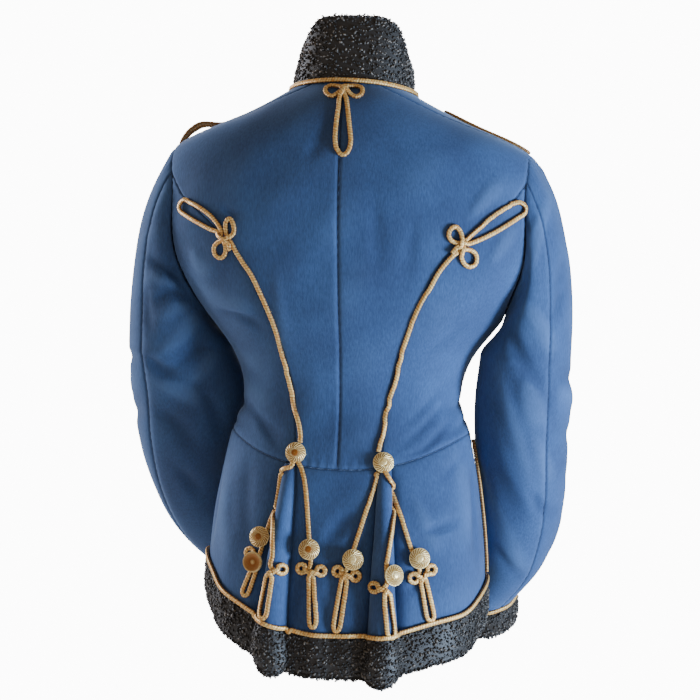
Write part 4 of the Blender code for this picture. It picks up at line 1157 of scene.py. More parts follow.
@dataclass
class Body:
    """The body of the coat: backs, side backs, fronts, the skirt and its two pleats."""

    coat: Coat
    tailor: Tailor
    pleat_start: float = 0.003
    tuck: float = 0.08         # a pleat's edges go on by this share, turned in between the panels
    tuck_depth: float = 10.5
    underlay: float = 0.14     # how far those edges then go on under the panels
    valley: float = 5.0        # how far the skirt sinks beside a pleat
    valley_width: float = 6.5
    valley_start: float = 30.0  # it sinks less within this much of the waist seam
    side_back_tip: float = 0.33  # the place in the armhole where the side back's point is
    front_edge: float = 179.6

    def rows(self, first: float, last: float, count: int = 500) -> tuple[Grid, Grid]:
        """Return closely spaced levels, and each one's place in the armhole.

        Args:
            first: the first level.
            last: the last one.
            count: how many rows.

        Returns:
            The levels, and the places: negative above the armhole and 1 or more below it.
        """
        coat = self.coat
        level = np.linspace(first, last, count)
        share = (level - coat.shoulder) / (coat.underarm - coat.shoulder)
        turn = np.arccos(1 - 2 * np.clip(share, 0, 1)) / np.pi
        turn = np.where(share < 0, -1.0, np.where(share > 1, 1.5, turn))
        return level, turn

    def sew(self, name: str, sign: int, level: Grid, start: Grid, end: Grid,
            sunk: tuple[Edge, ...] = ()) -> None:
        """Cut a panel from the coat's surface and finish it, sunk along its edges at a pleat.

        Args:
            name: the CAD node that it stands for.
            sign: the side of the garment.
            level: the level of each row, closely spaced.
            start: the angle at which each row starts.
            end: the angle at which it ends.
            sunk: the edges at a pleat.
        """
        grid = self.tailor.panel_grid(self.coat, sign, level, start, end)
        normals = grid_normals(grid, middle_line(grid))
        down = np.minimum(edge_distance(grid, 0)[0] / self.valley_start, 1)
        for edge, apart in zip((Edge.START, Edge.END), edge_distance(grid, 1)):
            if edge in sunk:
                depth = self.valley * down * np.exp(-(apart / self.valley_width) ** 2)
                grid = grid - normals * depth[..., None]
        self.tailor.tailor(name, grid, normals, BODY_CREASES)

    def build(self) -> None:
        """Make every cloth piece of the body."""
        coat = self.coat
        for side in Side:
            level, turn = self.rows(0, coat.waist)
            edge = coat.back_edge(level, turn)
            self.sew("back_" + side.word, side.value, level, 0 * edge, edge)
            level, turn = self.rows(float(coat.armhole(self.side_back_tip)[0]), coat.waist)
            armhole = coat.armhole(np.clip(turn, 0, 1))[1]
            end = np.where(turn > 1, coat.side_seam, armhole)
            self.sew("side_back_" + side.word, side.value, level, coat.back_edge(level, turn), end)
            level, turn = self.rows(0, coat.waist + 1)
            start = np.where(turn < 0, coat.shoulder_seam(level),
                             coat.armhole(np.clip(turn, 0, 1))[2])
            start = np.where(turn > 1, coat.side_seam, start)
            self.sew("front_" + side.word, side.value, level, start,
                     np.full_like(level, self.front_edge))
        self.skirt()
        for pleat in PLEATS:
            self.pleat(pleat)

    def pleat_edges(self, pleat: Pleat, drop: Grid) -> tuple[Grid, Grid]:
        """Return the angles of a pleat's inner and outer edge down the skirt."""
        level = self.coat.waist + drop
        return (self.coat.angle_at(mix(pleat.in_waist, pleat.in_hem, drop), level),
                self.coat.angle_at(mix(pleat.out_waist, pleat.out_hem, drop), level))

    def hem_edges(self) -> list[list[float]]:
        """Return the angles of each pleat's inner and outer edge at the hem."""
        return [[float(v[0]) for v in self.pleat_edges(pleat, np.ones(1))] for pleat in PLEATS]

    def skirt(self) -> None:
        """Make the centre of the skirt and its two sides."""
        drop = np.linspace(0, 1, 200)
        level = self.coat.waist + drop
        left, right = (self.pleat_edges(pleat, drop)[0] for pleat in PLEATS)
        self.sew("skirt_back", 1, level, -right, left, (Edge.START, Edge.END))
        for pleat in PLEATS:
            outer = self.pleat_edges(pleat, drop)[1]
            self.sew("skirt_side_" + pleat.side.word, pleat.side.value, level, outer,
                     np.full_like(level, self.coat.side_seam), (Edge.START,))

    def pleat_points(self, pleat: Pleat, drop: Grid, fall: Grid, proud: Grid, share: Grid) -> Grid:
        """Return points across a pleat.

        Args:
            pleat: the pleat.
            drop: the share of the skirt's length at each row.
            fall: how far each row is down the fur, as a share of its height.
            proud: how far each row stands out from the pleat's own form.
            share: the places across it, from 0 at the inner edge to 1.

        Returns:
            The points by row and column.
        """
        coat, sign = self.coat, pleat.side.value
        inside, outside = self.pleat_edges(pleat, drop)
        out = coat.outward(sign * (inside + outside) / 2, coat.waist + drop)
        high = mix(pleat.high_waist, pleat.high_hem, np.minimum(drop * 1.6, 1.0)) + proud
        turn = np.pi * np.clip(share, 0, 1)
        beyond = np.abs(share - np.clip(share, 0, 1)) / self.tuck
        aside = np.sign(share - 0.5) * self.underlay * np.clip(2 * beyond - 1, 0, 1)
        place = mix(0.004, 0.996, (1 - np.cos(turn)) / 2) + aside
        angle = sign * mix(inside[:, None], outside[:, None], place)
        base = coat.points(angle, (coat.waist + drop + fall)[:, None])
        lift = high[:, None] * np.sin(turn) - self.tuck_depth * np.minimum(beyond * 2, 1)
        return base + out[:, None, :] * lift[..., None]

    def pleat(self, pleat: Pleat) -> None:
        """Make one pleat as a soft roll of cloth."""
        drop = edged(190, self.tailor.spacing) * (1 - self.pleat_start) + self.pleat_start
        share = np.linspace(-self.tuck, 1 + self.tuck, 29)
        grid = self.pleat_points(pleat, drop, 0 * drop, 0 * drop, share)
        self.tailor.tailor("pleat_" + pleat.side.word, grid, grid_normals(grid, middle_line(grid)),
                           BODY_CREASES, held=Held.FOLDED, free=(Edge.START, Edge.END))


@dataclass
class Sleeve:
    """A two-piece sleeve, from the armhole to the wrist."""

    side: Side
    coat: Coat
    tailor: Tailor
    columns: int = 80
    hind_seam: float = 0.15
    fore_seam: float = 0.70
    usual_radius: float = 52.0
    head_radius: float = 60.0
    head_pucker: float = 0.8
    head_pucker_length: float = 13.0

    def ring(self, turn: Grid) -> Grid:
        """Return points of the armhole's edge; the turn runs from its top round the back."""
        return self.coat.points(*self.hole(turn))

    def hole(self, turn: Grid) -> tuple[Grid, Grid]:
        """Return the angle and the level of the armhole's edge at each turn."""
        share = 2 * (turn % 1.0)
        level, back, _ = self.coat.armhole(np.minimum(share, 1))
        low, _, front = self.coat.armhole(np.clip(2 - share, 0, 1))
        return self.side.value * np.where(share <= 1, back, front), np.where(share <= 1, level, low)

    def turned_over(self, grid: Grid, normals: Grid, turn: Grid) -> Grid:
        """Turn the head's directions to the shoulder's, so that the two lie edge to edge."""
        top = np.maximum(np.cos(2 * np.pi * turn), 0) ** 0.5
        share = top[None, :] * np.clip(1 - edge_distance(grid, 0)[0] / 12, 0, 1)
        return unit(mix(normals, self.coat.normals(*self.hole(turn))[None], share[..., None]))

    def arm(self, place: Grid, turn: Grid) -> Grid:
        """Return points of the arm's sections between the rows of the table.

        Args:
            place: how far down the table each row is.
            turn: the turn of each column.

        Returns:
            The points, by row and column.
        """
        sizes = between(ARMS[self.side].values(), place[:, None])
        lean = np.radians(sizes["lean"])
        angle = 2 * np.pi * turn[None, :]
        x = self.side.value * (sizes["x"] + sizes["across"] * np.cos(angle))
        y = sizes["y"] + sizes["fore"] * np.cos(lean) * np.sin(angle)
        z = sizes["z"] - sizes["fore"] * np.sin(lean) * np.sin(angle)
        return np.stack([x, y, z], axis=-1)

    def grid(self, turn: Grid) -> Grid:
        """Work out the sleeve's smooth surface.

        Args:
            turn: the turn of each column.

        Returns:
            Its points, by row from the armhole down.
        """
        start = self.ring(turn)
        end = self.arm(np.array([0.0]), turn)[0]
        sign, angle = self.side.value, 2 * np.pi * turn
        leave = unit(np.stack([sign * (0.39 + 0.2 * np.cos(angle)), 0.1 * np.sin(angle),
                               0.08 * np.cos(angle) - 0.9], axis=-1))
        reach = np.linalg.norm(end - start, axis=-1, keepdims=True)
        down = np.array([0.0, 0.0, -1.0])
        t = edged(200, self.tailor.spacing)
        t = t[t < 0.985][:, None, None]
        cap = (start * (2 * t ** 3 - 3 * t * t + 1) + leave * reach * (t ** 3 - 2 * t * t + t)
               + end * (3 * t * t - 2 * t ** 3) + down * reach * (t ** 3 - t * t))
        last = len(ARMS[self.side]) - 1
        return np.concatenate([cap, self.arm(np.linspace(0, last, 76), turn)])

    def pieces(self) -> dict[str, Grid]:
        """Return each piece's columns as turns round the sleeve."""
        girth = 2 * np.pi * self.usual_radius
        under = mix(self.hind_seam, self.fore_seam,
                    edged((self.fore_seam - self.hind_seam) * girth, self.tailor.spacing))
        top = mix(self.fore_seam, self.hind_seam + 1,
                  edged((self.hind_seam + 1 - self.fore_seam) * girth, self.tailor.spacing))
        return {"sleeve_under_": under, "sleeve_top_": top}

    def gather(self, grid: Grid, normals: Grid, turn: Grid) -> Grid:
        """Ease the sleeve's head into the armhole with small puckers."""
        down = edge_distance(grid, 0)[0]
        around = turn * 2 * np.pi * self.head_radius
        wave = np.sin(2 * np.pi * around / self.head_pucker_length)
        fade = np.exp(-((down - 9) / 10) ** 2) * self.head_pucker
        return grid + normals * (fade * wave[None, :])[..., None]

    def build(self) -> Grid:
        """Make both pieces.

        Returns:
            The points of the wrist's edge, once round.
        """
        for name, turn in self.pieces().items():
            grid = self.grid(turn)
            core = self.grid(np.arange(16) / 16).mean(1)
            normals = self.turned_over(grid, grid_normals(grid, core), turn)
            grid = self.gather(grid, normals, turn)
            self.tailor.tailor(name + self.side.word, grid, normals, SLEEVE_CREASES[self.side])
        last = float(len(ARMS[self.side]) - 1)
        return self.arm(np.array([last]), np.arange(self.columns) / self.columns)[0]


@dataclass
class Furrier:
    """Makes lambskin: a skin with curled locks standing on it.

    The pairs are the least and the most that a lock may have.
    """

    finish: Lambskin
    spacing: float = 3.7
    steps: int = 7
    sides: int = 3
    lock_radius: float = 1.35
    sunk: float = 1.2          # the skin lies this far below the curls' face
    turns: tuple[float, float] = (0.5, 0.9)
    radius: tuple[float, float] = (1.2, 1.7)
    pitch: tuple[float, float] = (1.2, 3.4)
    height: tuple[float, float] = (-0.5, 0.15)
    tone: tuple[float, float] = (-0.4, 0.42)
    skin_tone: float = 0.12
    count: int = 0

    def scatter(self, grid: Grid, normals: Grid, rng: np.random.Generator) -> tuple[Grid, Grid]:
        """Spread the locks over a grid, a little unevenly.

        Args:
            grid: the skin's points, by row and column.
            normals: its directions.
            rng: the seeded source of variation.

        Returns:
            The places of the locks, and the skin's directions there.
        """
        rows, columns = grid.shape[:2]
        length = np.linalg.norm(np.diff(grid, axis=0), axis=-1).sum(0).mean()
        lines = max(int(round(length / self.spacing)), 2)
        places, ways = [], []
        for line in range(lines + 1):
            r = line / lines * (rows - 1)
            low = min(int(r), rows - 2)
            row, way = (mix(g[low], g[low + 1], r - low) for g in (grid, normals))
            width = np.linalg.norm(np.diff(row, axis=0), axis=1).sum()
            across = max(int(round(width / self.spacing)), 2)
            c = np.arange(across + 1) + 0.5 * (line % 2) + rng.uniform(-0.32, 0.32, across + 1)
            c = np.clip(c / across, 0, 1) * (columns - 1)
            left = np.minimum(c.astype(int), columns - 2)
            t = (c - left)[:, None]
            down = (grid[low + 1] - grid[low])[left] * (rows - 1) / lines
            shift = down * rng.uniform(-0.5, 0.5, (len(c), 1))
            places.append(mix(row[left], row[left + 1], t) + shift)
            ways.append(mix(way[left], way[left + 1], t))
        return np.concatenate(places), unit(np.concatenate(ways))

    def locks(self, places: Grid, ways: Grid, rng: np.random.Generator) -> tuple[Grid, list, Grid]:
        """Curl a lock at each place.

        Args:
            places: where the locks stand.
            ways: the skin's directions there.
            rng: the seeded source of variation.

        Returns:
            The points, the faces and the tone of each point, with painted light on the crowns.
        """
        count = len(places)
        rough = unit(rng.normal(size=(count, 3)))
        along = unit(rough - ways * (rough * ways).sum(1, keepdims=True))
        side = np.cross(ways, along)
        t = np.linspace(0, 1, self.steps)
        turns = rng.uniform(*self.turns, (count, 1)) * rng.choice([-1, 1], (count, 1))
        angle = rng.uniform(0, 2 * np.pi, (count, 1)) + 2 * np.pi * turns * t
        radius = rng.uniform(*self.radius, (count, 1)) * (1.0 - 0.25 * t)
        pitch = rng.uniform(*self.pitch, (count, 1)) * (t - 0.5)
        height = rng.uniform(*self.height, (count, 1))
        path = (places[:, None] + along[:, None] * pitch[..., None]
                + side[:, None] * (radius * np.cos(angle))[..., None]
                + ways[:, None] * (height + radius * np.sin(angle))[..., None])
        tangent = unit(np.gradient(path, axis=1))
        first = unit(np.cross(tangent, along[:, None]))
        second = np.cross(tangent, first)
        thick = (self.lock_radius * rng.uniform(0.8, 1.2, (count, 1))
                 * np.sin(np.pi * (0.08 + 0.84 * t)) ** 0.5)
        corners = 2 * np.pi * np.arange(self.sides) / self.sides
        rings = np.stack([path + thick[..., None] * (first * math.cos(a) + second * math.sin(a))
                          for a in corners], axis=2)
        number = np.arange(count * self.steps * self.sides).reshape(count, self.steps, self.sides)
        a, b = number[:, :-1], number[:, 1:]
        strips = np.stack([a, np.roll(a, -1, 2), np.roll(b, -1, 2), b], -1).reshape(-1, 4)
        caps = np.concatenate([number[:, 0, ::-1], number[:, -1]])
        points = rings.reshape(-1, 3)
        if volume(points, strips) < 0:
            strips, caps = strips[:, ::-1], caps[:, ::-1]
        # painted light: a point of a lock is lighter the higher it stands over the skin
        high = (height + radius * np.sin(angle)) / 2.0
        tone = 0.4 + 0.12 * high + rng.uniform(*self.tone, (count, 1))
        tones = np.repeat(np.clip(tone, 0.02, 1).reshape(-1), self.sides)
        return points, strips.tolist() + caps.tolist(), tones

    def build(self, name: str, outer: Grid, inner: Grid, normals: Grid, tone: float,
              edges: tuple[Edge, ...], seed: int, closed: bool = False) -> None:
        """Make one lambskin piece.

        Args:
            name: the CAD node that it stands for.
            outer: the face of the fur, by row and column.
            inner: its back.
            normals: the directions of the face.
            tone: added to the locks' tone; the collar is browner than the hem.
            edges: the edges over which the locks turn.
            seed: the seed of its variation.
            closed: whether it runs all round.
        """
        rng = np.random.default_rng(seed)
        skin = outer - normals * self.sunk
        base, faces = wall(skin, inner, closed)
        spots = [self.scatter(skin, normals, rng)]
        for edge in edges:
            line, near = edge.value
            face, away = skin[line], unit(skin[line] - skin[near])
            axis = 0 if edge in (Edge.TOP, Edge.BOTTOM) else 1
            band = np.concatenate([face, mix(face, inner[line], 0.7)], axis)
            tilt = unit(np.concatenate([normals[line] + away * 0.6, away], axis))
            if axis:
                band, tilt = band.transpose(1, 0, 2), tilt.transpose(1, 0, 2)
            spots.append(self.scatter(band, tilt, rng))
        places, ways = (np.concatenate([s[k] for s in spots]) for k in range(2))
        points, lock_faces, tones = self.locks(places, ways, rng)
        self.count += len(places)
        every = faces.tolist() + [[k + len(base) for k in face] for face in lock_faces]
        values = np.concatenate([np.full(len(base), self.skin_tone), np.clip(tones + tone, 0, 1)])
        make_piece("fur_" + name.removeprefix("fur_"), np.concatenate([base, points]), every, (name,),
                   self.finish, {"lock": values})


def down_arm(side: Side) -> Grid:
    """Return the direction in which a sleeve leaves the wrist."""
    lean = math.radians(ARMS[side]["wrist"].lean)
    return np.array([0.0, -math.sin(lean), -math.cos(lean)])


@dataclass
class Fur:
    """The collar, the hem bands and the cuffs."""

    coat: Coat
    body: Body
    furrier: Furrier
    thick: float = 7.0
    proud: float = 3.0
    gap: float = 0.3
    hem_tone: float = -0.05
    cuff_tone: float = -0.03
    collar_tone: float = 0.14
    collar_crown: float = 5.2
    collar_tuck: tuple[float, float] = (4.5, 6.0)  # how far its foot goes in and down at the neck
    cuff_length: float = 38.0
    pleat_sag: float = 8.0
    surfaces: list[tuple[Grid, Grid]] = field(default_factory=list)

    def make(self, name: str, outer: Grid, inner: Grid, normals: Grid, tone: float,
             edges: tuple[Edge, ...], seed: int, closed: bool = False) -> None:
        """Make one piece of lambskin, and remember its surface for the cords to lie against."""
        self.surfaces.append(wall(outer, inner, closed))
        self.furrier.build(name, outer, inner, normals, tone, edges, seed, closed)

    def band(self, name: str, angles: Grid, sign: int, seed: int, edges: tuple[Edge, ...]) -> None:
        """Make a strip of lambskin below the hem cord.

        Args:
            name: the CAD node that it stands for.
            angles: the angles of its columns.
            sign: the side of the garment.
            seed: the seed of its variation.
            edges: the ends over which its locks turn.
        """
        fall = np.linspace(0, 1, 10)
        extra = np.interp(fall, (0, 0.25, 0.75, 1), (0, 1.6, 1.8, -1.0))
        out = self.coat.outward(sign * angles, np.full_like(angles, self.coat.waist + 1.0))
        base = self.coat.points(sign * angles[None, :], (self.coat.waist + 1 + fall)[:, None])
        outer = base + out[None] * (self.proud + extra)[:, None, None]
        inner = base + out[None] * (self.proud + extra * 0.3 - self.thick)[:, None, None]
        self.make(name, outer, inner, np.broadcast_to(out[None], outer.shape), self.hem_tone,
                  (Edge.BOTTOM,) + edges, seed)

    def hem(self) -> None:
        """Make the hem bands between the pleats, round the sides, and on the pleats."""
        aside, front_edge = 0.1, 179.7
        left, right = self.body.hem_edges()
        self.band("fur_hem_back", np.linspace(-right[0] + aside, left[0] - aside, 26), 1, 11, ())
        for side, edge, seed in ((Side.LEFT, left[1], 12), (Side.RIGHT, right[1], 13)):
            angles = np.linspace(edge + aside, front_edge, 96)
            self.band("fur_hem_" + side.word, angles, side.value, seed, (Edge.END,))
        for pleat, seed in zip(PLEATS, (14, 15)):
            self.pleat(pleat, seed)

    def pleat(self, pleat: Pleat, seed: int) -> None:
        """Make the lambskin at the foot of a pleat, which spreads and sags below the cord.

        Args:
            pleat: the pleat above it.
            seed: the seed of its variation.
        """
        fall = np.linspace(0.0, 1, 10)
        proud = np.interp(fall, (0, 0.06, 0.25, 0.75, 1), (1.0, 3.0, 4.5, 4.5, 1.0))
        spread = np.interp(fall, (0, 0.3, 0.8, 1), (0.05, 0.36, 0.46, 0.12))
        share = np.linspace(-self.body.tuck, 1 + self.body.tuck, 21)
        outer = self.body.pleat_points(pleat, np.ones_like(fall), fall, proud, share)
        sag = np.sin(np.pi * np.clip(share, 0, 1)) * self.pleat_sag
        outer[..., 2] -= sag[None, :] * fall[:, None] ** 3
        across = unit((outer[:, -1] - outer[:, 0]) * LEVEL_WAYS)[:, None]
        aside = ((outer - outer.mean(1, keepdims=True)) * across).sum(-1, keepdims=True)
        outer += across * aside * spread[:, None, None]
        normals = grid_normals(outer, middle_line(outer))
        normals[..., 2] = 0
        normals = unit(normals)
        self.make("fur_pleat_" + pleat.side.word, outer, outer - normals * self.thick * 0.6, normals,
                  self.hem_tone, (Edge.BOTTOM, Edge.START, Edge.END), seed)

    def collar(self) -> None:
        """Make the tall stand of lambskin, whose foot is tucked in behind the neck seam."""
        angles = np.linspace(-178, 178, 131)
        place = np.linspace(0, 2, 17)
        rings = between(COLLAR_RINGS.values(), place[:, None])
        crown = mix(2.0, self.collar_crown, place / 2)[:, None]
        outer = leaned(self.coat.section(rings, angles[None, :], crown))
        level = unit(outer * LEVEL_WAYS)
        inner = outer - level * self.thick * 0.85
        outer[-1] = mix(outer[-1], inner[-1], 0.15)
        tuck_in, tuck_down = self.collar_tuck
        tuck = level[:1] * tuck_in + np.array([0, 0, tuck_down])
        outer, inner = (np.concatenate([g[:1] - tuck, g]) for g in (outer, inner))
        self.make("collar", outer, inner, grid_normals(outer, middle_line(outer)), self.collar_tone,
                  (Edge.BOTTOM, Edge.START, Edge.END), 16)

    def cuff(self, side: Side, wrist: Grid, seed: int) -> None:
        """Make a cuff beyond the wrist's edge.

        Args:
            side: the sleeve's side.
            wrist: the points of its wrist's edge.
            seed: the seed of its variation.
        """
        centre = wrist.mean(0)
        wrist_radius = 40
        fall = np.linspace(0, 1, 9)
        proud = np.interp(fall, (0, 0.3, 0.8, 1), (3.0, 4.4, 4.4, 2.0))
        shift = down_arm(side) * (self.cuff_length * fall + self.gap)[:, None]
        away = (wrist[::2] - centre)[None]
        outer = centre + away * (1 + proud / wrist_radius)[:, None, None] + shift[:, None]
        inset = 1 + (proud * 0.5 - 4.5) / wrist_radius
        inner = centre + away * inset[:, None, None] + shift[:, None]
        self.make("cuff_" + side.word, outer, inner, np.broadcast_to(unit(away), outer.shape),
                  self.cuff_tone, (Edge.BOTTOM,), seed, closed=True)


@dataclass
class Trim:
    """The gold cord and how it lies on the garment."""

    finish: GoldGimp
    coat: Coat
    body: Body
    tree: BVHTree
    half_width: float = 2.8
    half_height: float = 2.2
    groove: float = 0.55
    groove_width: float = 0.75
    tick: float = 5.2          # the wound turns show as a darker tick this often
    turn: float = 1.7
    slant: float = 0.35        # how far the turns lean over across the cord
    tick_width: float = 0.5
    squeeze: float = 0.13      # how far a tick draws the cord in
    knob: float = 3.1          # the length of its slight unevenness
    step: float = 1.0
    sides: int = 12
    over: float = 3.2          # how far a cord rises where it crosses another
    ring: float = 4.7          # the middle of a small ring on the skirt
    crossing: float = 5.6      # two stretches of cord closer than this lie on each other
    knot_step: float = 2.0
    bridge: float = 1.4        # how far aside a route feels for the cloth
    passes: int = 14
    made: int = 0

    def lay(self, route: Grid, view: View) -> tuple[Grid, Grid]:
        """Lay a route of across, up and rise on the first cloth met from a side.

        Args:
            route: across, up and rise of each point.
            view: the side from which it is laid.

        Returns:
            The points on the cloth and the cloth's directions there.
        """
        towards = Vector(view.towards)
        places, ways = [], []
        for across, up, rise in route:
            start = Vector(view.across * (across + view.middle)) + towards * 420 + Vector((0, 0, up))
            place, way = self.cast(start, -towards, Vector(view.across))
            places.append(place + way * rise)
            ways.append(way)
        return self.settle(np.array(places), np.array(ways), np.array(route)[:, 2], view.towards)

    def cast(self, start: Vector, direction: Vector, aside: Vector) -> tuple[Vector, Vector]:
        """Return the usual depth of five looks, so that a route bridges the seams' gaps.

        Args:
            start: where the first look starts; the others start beside it, above it and below it.
            direction: the way that they go.
            aside: a direction across it.

        Returns:
            The place at the second least depth, and the cloth's direction there.
        """
        up = aside.cross(direction)
        hits = []
        for shift in (0 * aside, aside, -aside, up, -up):
            place, way, _, apart = self.tree.ray_cast(start + shift * self.bridge, direction)
            if place is not None:
                hits.append((apart, -way if way.dot(direction) > 0 else way))
        hits.sort(key=lambda hit: hit[0])
        depth, way = hits[len(hits) // 3]
        return start + direction * depth, way

    def settle(self, points: Grid, ways: Grid, rise: Grid, towards: Grid | None) -> tuple[Grid, Grid]:
        """Smooth a route's depth and keep it just clear of the cloth.

        Args:
            points: the route.
            ways: the cloth's directions along it.
            rise: how far each point is to stand off the cloth.
            towards: the direction in which its depth may change, or None to leave that out.

        Returns:
            The settled points and their smoothed directions.
        """
        for _ in range(self.passes):
            if towards is not None and len(points) > 3:
                depth = points @ towards
                soft = depth.copy()
                soft[1:-1] = (depth[:-2] + 2 * depth[1:-1] + depth[2:]) / 4
                points = points + towards * (soft - depth)[:, None]
            for k, point in enumerate(points):
                place, way, _, _ = self.tree.find_nearest(Vector(point))
                away = np.array(way) * (1 if np.dot(way, ways[k]) > 0 else -1)
                apart = float(np.dot(point - np.array(place), away))
                need = rise[k] + 0.1
                facing = 0.0 if towards is None else float(away @ towards)
                push = towards / facing if facing > 0.6 else away
                if apart < need:
                    points[k] = point + push * (need - apart)
        padded = np.concatenate([ways[:1], ways, ways[-1:]])
        for _ in range(3):
            ways = unit(padded[:-2] + 2 * padded[1:-1] + padded[2:])
            padded = np.concatenate([ways[:1], ways, ways[-1:]])
        return points, ways

    def rope(self, points: Grid, ways: Grid, closed: bool) -> tuple[Grid, list, Grid, Grid]:
        """Wind a cord along its points.

        Args:
            points: the middle of the cord's foot on the cloth.
            ways: the cloth's directions along it.
            closed: whether it comes back to its start.

        Returns:
            Its points, faces, how dark each point is, and its turns of thread; the darkness is the
            tarnished ticks, with painted shade in the top groove and along the foot.
        """
        both = even_route(np.concatenate([points, ways * 10], axis=1), self.step, closed)
        middle, up = both[:, :3], unit(both[:, 3:])
        if closed:
            tangent = unit(np.roll(middle, -1, 0) - np.roll(middle, 1, 0))
        else:
            tangent = unit(np.gradient(middle, axis=0))
        side = unit(np.cross(tangent, up))
        up = np.cross(side, tangent)
        along = lengths_along(middle)
        rng = np.random.default_rng(len(middle) + self.made)
        strength = rng.uniform(0.45, 1.0, int(along[-1] / self.tick) + 3)
        angle = 2 * np.pi * np.arange(self.sides) / self.sides
        x, z = self.half_width * np.cos(angle), self.half_height * np.sin(angle)
        z = z - np.where(z > 0, self.groove * np.exp(-(x / self.groove_width) ** 2), 0)
        slant = along[:, None] + self.slant * x[None, :]
        turn = np.round(slant / self.tick)
        near = np.abs(slant / self.tick - turn) * self.tick
        strength = strength[np.clip(turn.astype(int), 0, len(strength) - 1)]
        dark = np.exp(-(near / self.tick_width) ** 2) * strength
        knobs = 0.035 * np.cos(2 * np.pi * along[:, None] / self.knob + angle[None, :])
        swell = 1 - self.squeeze * dark + knobs
        lift = self.half_height * 0.92
        rings = (middle[:, None] + up[:, None] * (lift + z * swell)[..., None]
                 + side[:, None] * (x * swell)[..., None])
        number = np.arange(len(middle) * self.sides).reshape(len(middle), self.sides)
        ends = np.concatenate([number, number[:1]]) if closed else number
        a, b = ends[:-1], ends[1:]
        faces = np.stack([a, np.roll(a, -1, 1), np.roll(b, -1, 1), b], -1).reshape(-1, 4).tolist()
        if not closed:
            faces += [number[0, ::-1].tolist(), number[-1].tolist()]
        # painted shade in the groove along the top of the cord
        groove_shade = 0.2 * np.exp(-(x / 0.55) ** 2) * (z > 0)
        # darker towards the foot: painted contact shade on the cloth, and tarnish
        foot = 0.85 * np.clip((1.75 - z) / 1.5, 0, 1) * np.clip((z + 2.0) / 2, 0.2, 1)
        tone = np.clip(dark * 0.25 + groove_shade[None, :] + foot[None, :], 0, 1)
        return rings.reshape(-1, 3), faces, tone.ravel(), (slant / self.turn).ravel()

    def sew(self, node: str, *routes: tuple[Grid, Grid, bool]) -> None:
        """Make one piece of cord.

        Args:
            node: its CAD node, without the word cord.
            routes: the points and directions of each route, and whether it is closed.
        """
        points, faces, tones, turns = [], [], [], []
        base = 0
        for middle, ways, closed in routes:
            p, f, tone, turn = self.rope(middle, ways, closed)
            points.append(p)
            faces += [[base + k for k in face] for face in f]
            tones.append(tone)
            turns.append(turn)
            base += len(p)
        self.made += 1
        make_piece("gimp_" + node, np.concatenate(points), faces, ("cord_" + node,),
                   self.finish, {"wrap": np.concatenate(tones), "turns": np.concatenate(turns)})

    def small_loop(self, knot: Grid, centre: Grid, turning: float) -> Grid:
        """Return the points of a small ring that starts and ends near the knot."""
        back = knot - centre
        facing = math.atan2(back[1], back[0])
        turn = facing + np.radians(np.linspace(20, 340, 9)) * turning
        return centre + self.ring * np.stack([np.cos(turn), np.sin(turn)], axis=1)

    def trefoil(self, shape: Trefoil) -> Grid:
        """Work out the route of a trefoil: a ring, the long loop, and another ring.

        Args:
            shape: its knot, its tip and its rings.

        Returns:
            The route, across and up.
        """
        knot, tip = np.array(shape.knot, float), np.array(shape.tip, float)
        down = unit(tip - knot)
        aside = np.array([-down[1], down[0]])
        rings = [np.array(s, float) for s in (shape.small_left, shape.small_right) if s]
        lean = np.sign((rings[0] - knot) @ aside)
        reach, bulge = np.array([(0.07, 0.7), (0.2, 0.8), (0.45, 0.9), (0.7, 1.0), (0.88, 1.0),
                                 (0.965, 0.7), (1.0, 0.0)]).T[:, :, None]
        along = (tip - knot)[None] * reach
        wide = aside[None] * (shape.width / 2) * lean * bulge
        loop = np.concatenate([knot + along - wide, (knot + along + wide)[-2::-1]])
        parts = [self.small_loop(knot, rings[0], lean), knot[None], loop]
        if len(rings) > 1:
            parts += [knot[None], self.small_loop(knot, rings[1], lean)]
        return np.concatenate(parts + [(knot - down * 3)[None]])

    def stacked(self, flat: Grid) -> Grid:
        """Work out how far a route rises to pass over its own earlier parts.

        Args:
            flat: the route, across and up, evenly spaced.

        Returns:
            The rise of each point.
        """
        apart_by = int(self.crossing * 1.6 / self.knot_step)
        rise = np.zeros(len(flat))
        for k in range(apart_by, len(flat)):
            before = slice(0, k - apart_by + 1)
            apart = np.linalg.norm(flat[before] - flat[k], axis=1)
            near = np.clip(1 - (apart / self.crossing) ** 2, 0, 1)
            rise[k] = min(((self.over + 0.5 * rise[before]) * near).max(), 1.6 * self.over)
        for _ in range(2):
            rise[1:-1] = (rise[:-2] + 2 * rise[1:-1] + rise[2:]) / 4
        return rise

    def knotted(self, route: Grid) -> tuple[Grid, Grid, bool]:
        """Lay a route that crosses itself on the back."""
        flat = even_route(route, self.knot_step)
        points, ways = self.lay(np.column_stack([flat, self.stacked(flat)]), View.BACK)
        return points, ways, False

    def laid(self, route: Grid, view: View) -> tuple[Grid, Grid, bool]:
        """Lay a plain closed route on a side of the garment."""
        flat = np.column_stack([route, np.zeros(len(route))])
        points, ways = self.lay(even_route(flat, 3.0, True), view)
        return points, ways, True

    def around(self, points: Grid, ways: Grid, closed: bool = False) -> tuple[Grid, Grid, bool]:
        """Rest a route that was worked out from the garment's own points."""
        return *self.settle(points, ways, np.zeros(len(points)), None), closed

    def build(self, wrists: dict[Side, Grid]) -> None:
        """Make every cord.

        Args:
            wrists: the points of each wrist's edge, once round.
        """
        for side in Side:
            self.sew("back_" + side.word, self.knotted(np.array(BACK_ROUTES[side], float)))
        for cord in SKIRT_CORDS:
            route = np.concatenate([np.array(cord.route, float), self.trefoil(cord.trefoil)])
            self.sew("skirt_" + cord.name, self.knotted(route))
        self.neck()
        self.hem()
        for side in Side:
            self.skirt_edge(side)
            self.wrist(side, wrists[side][::2])
            self.shoulder(side)
        self.front()

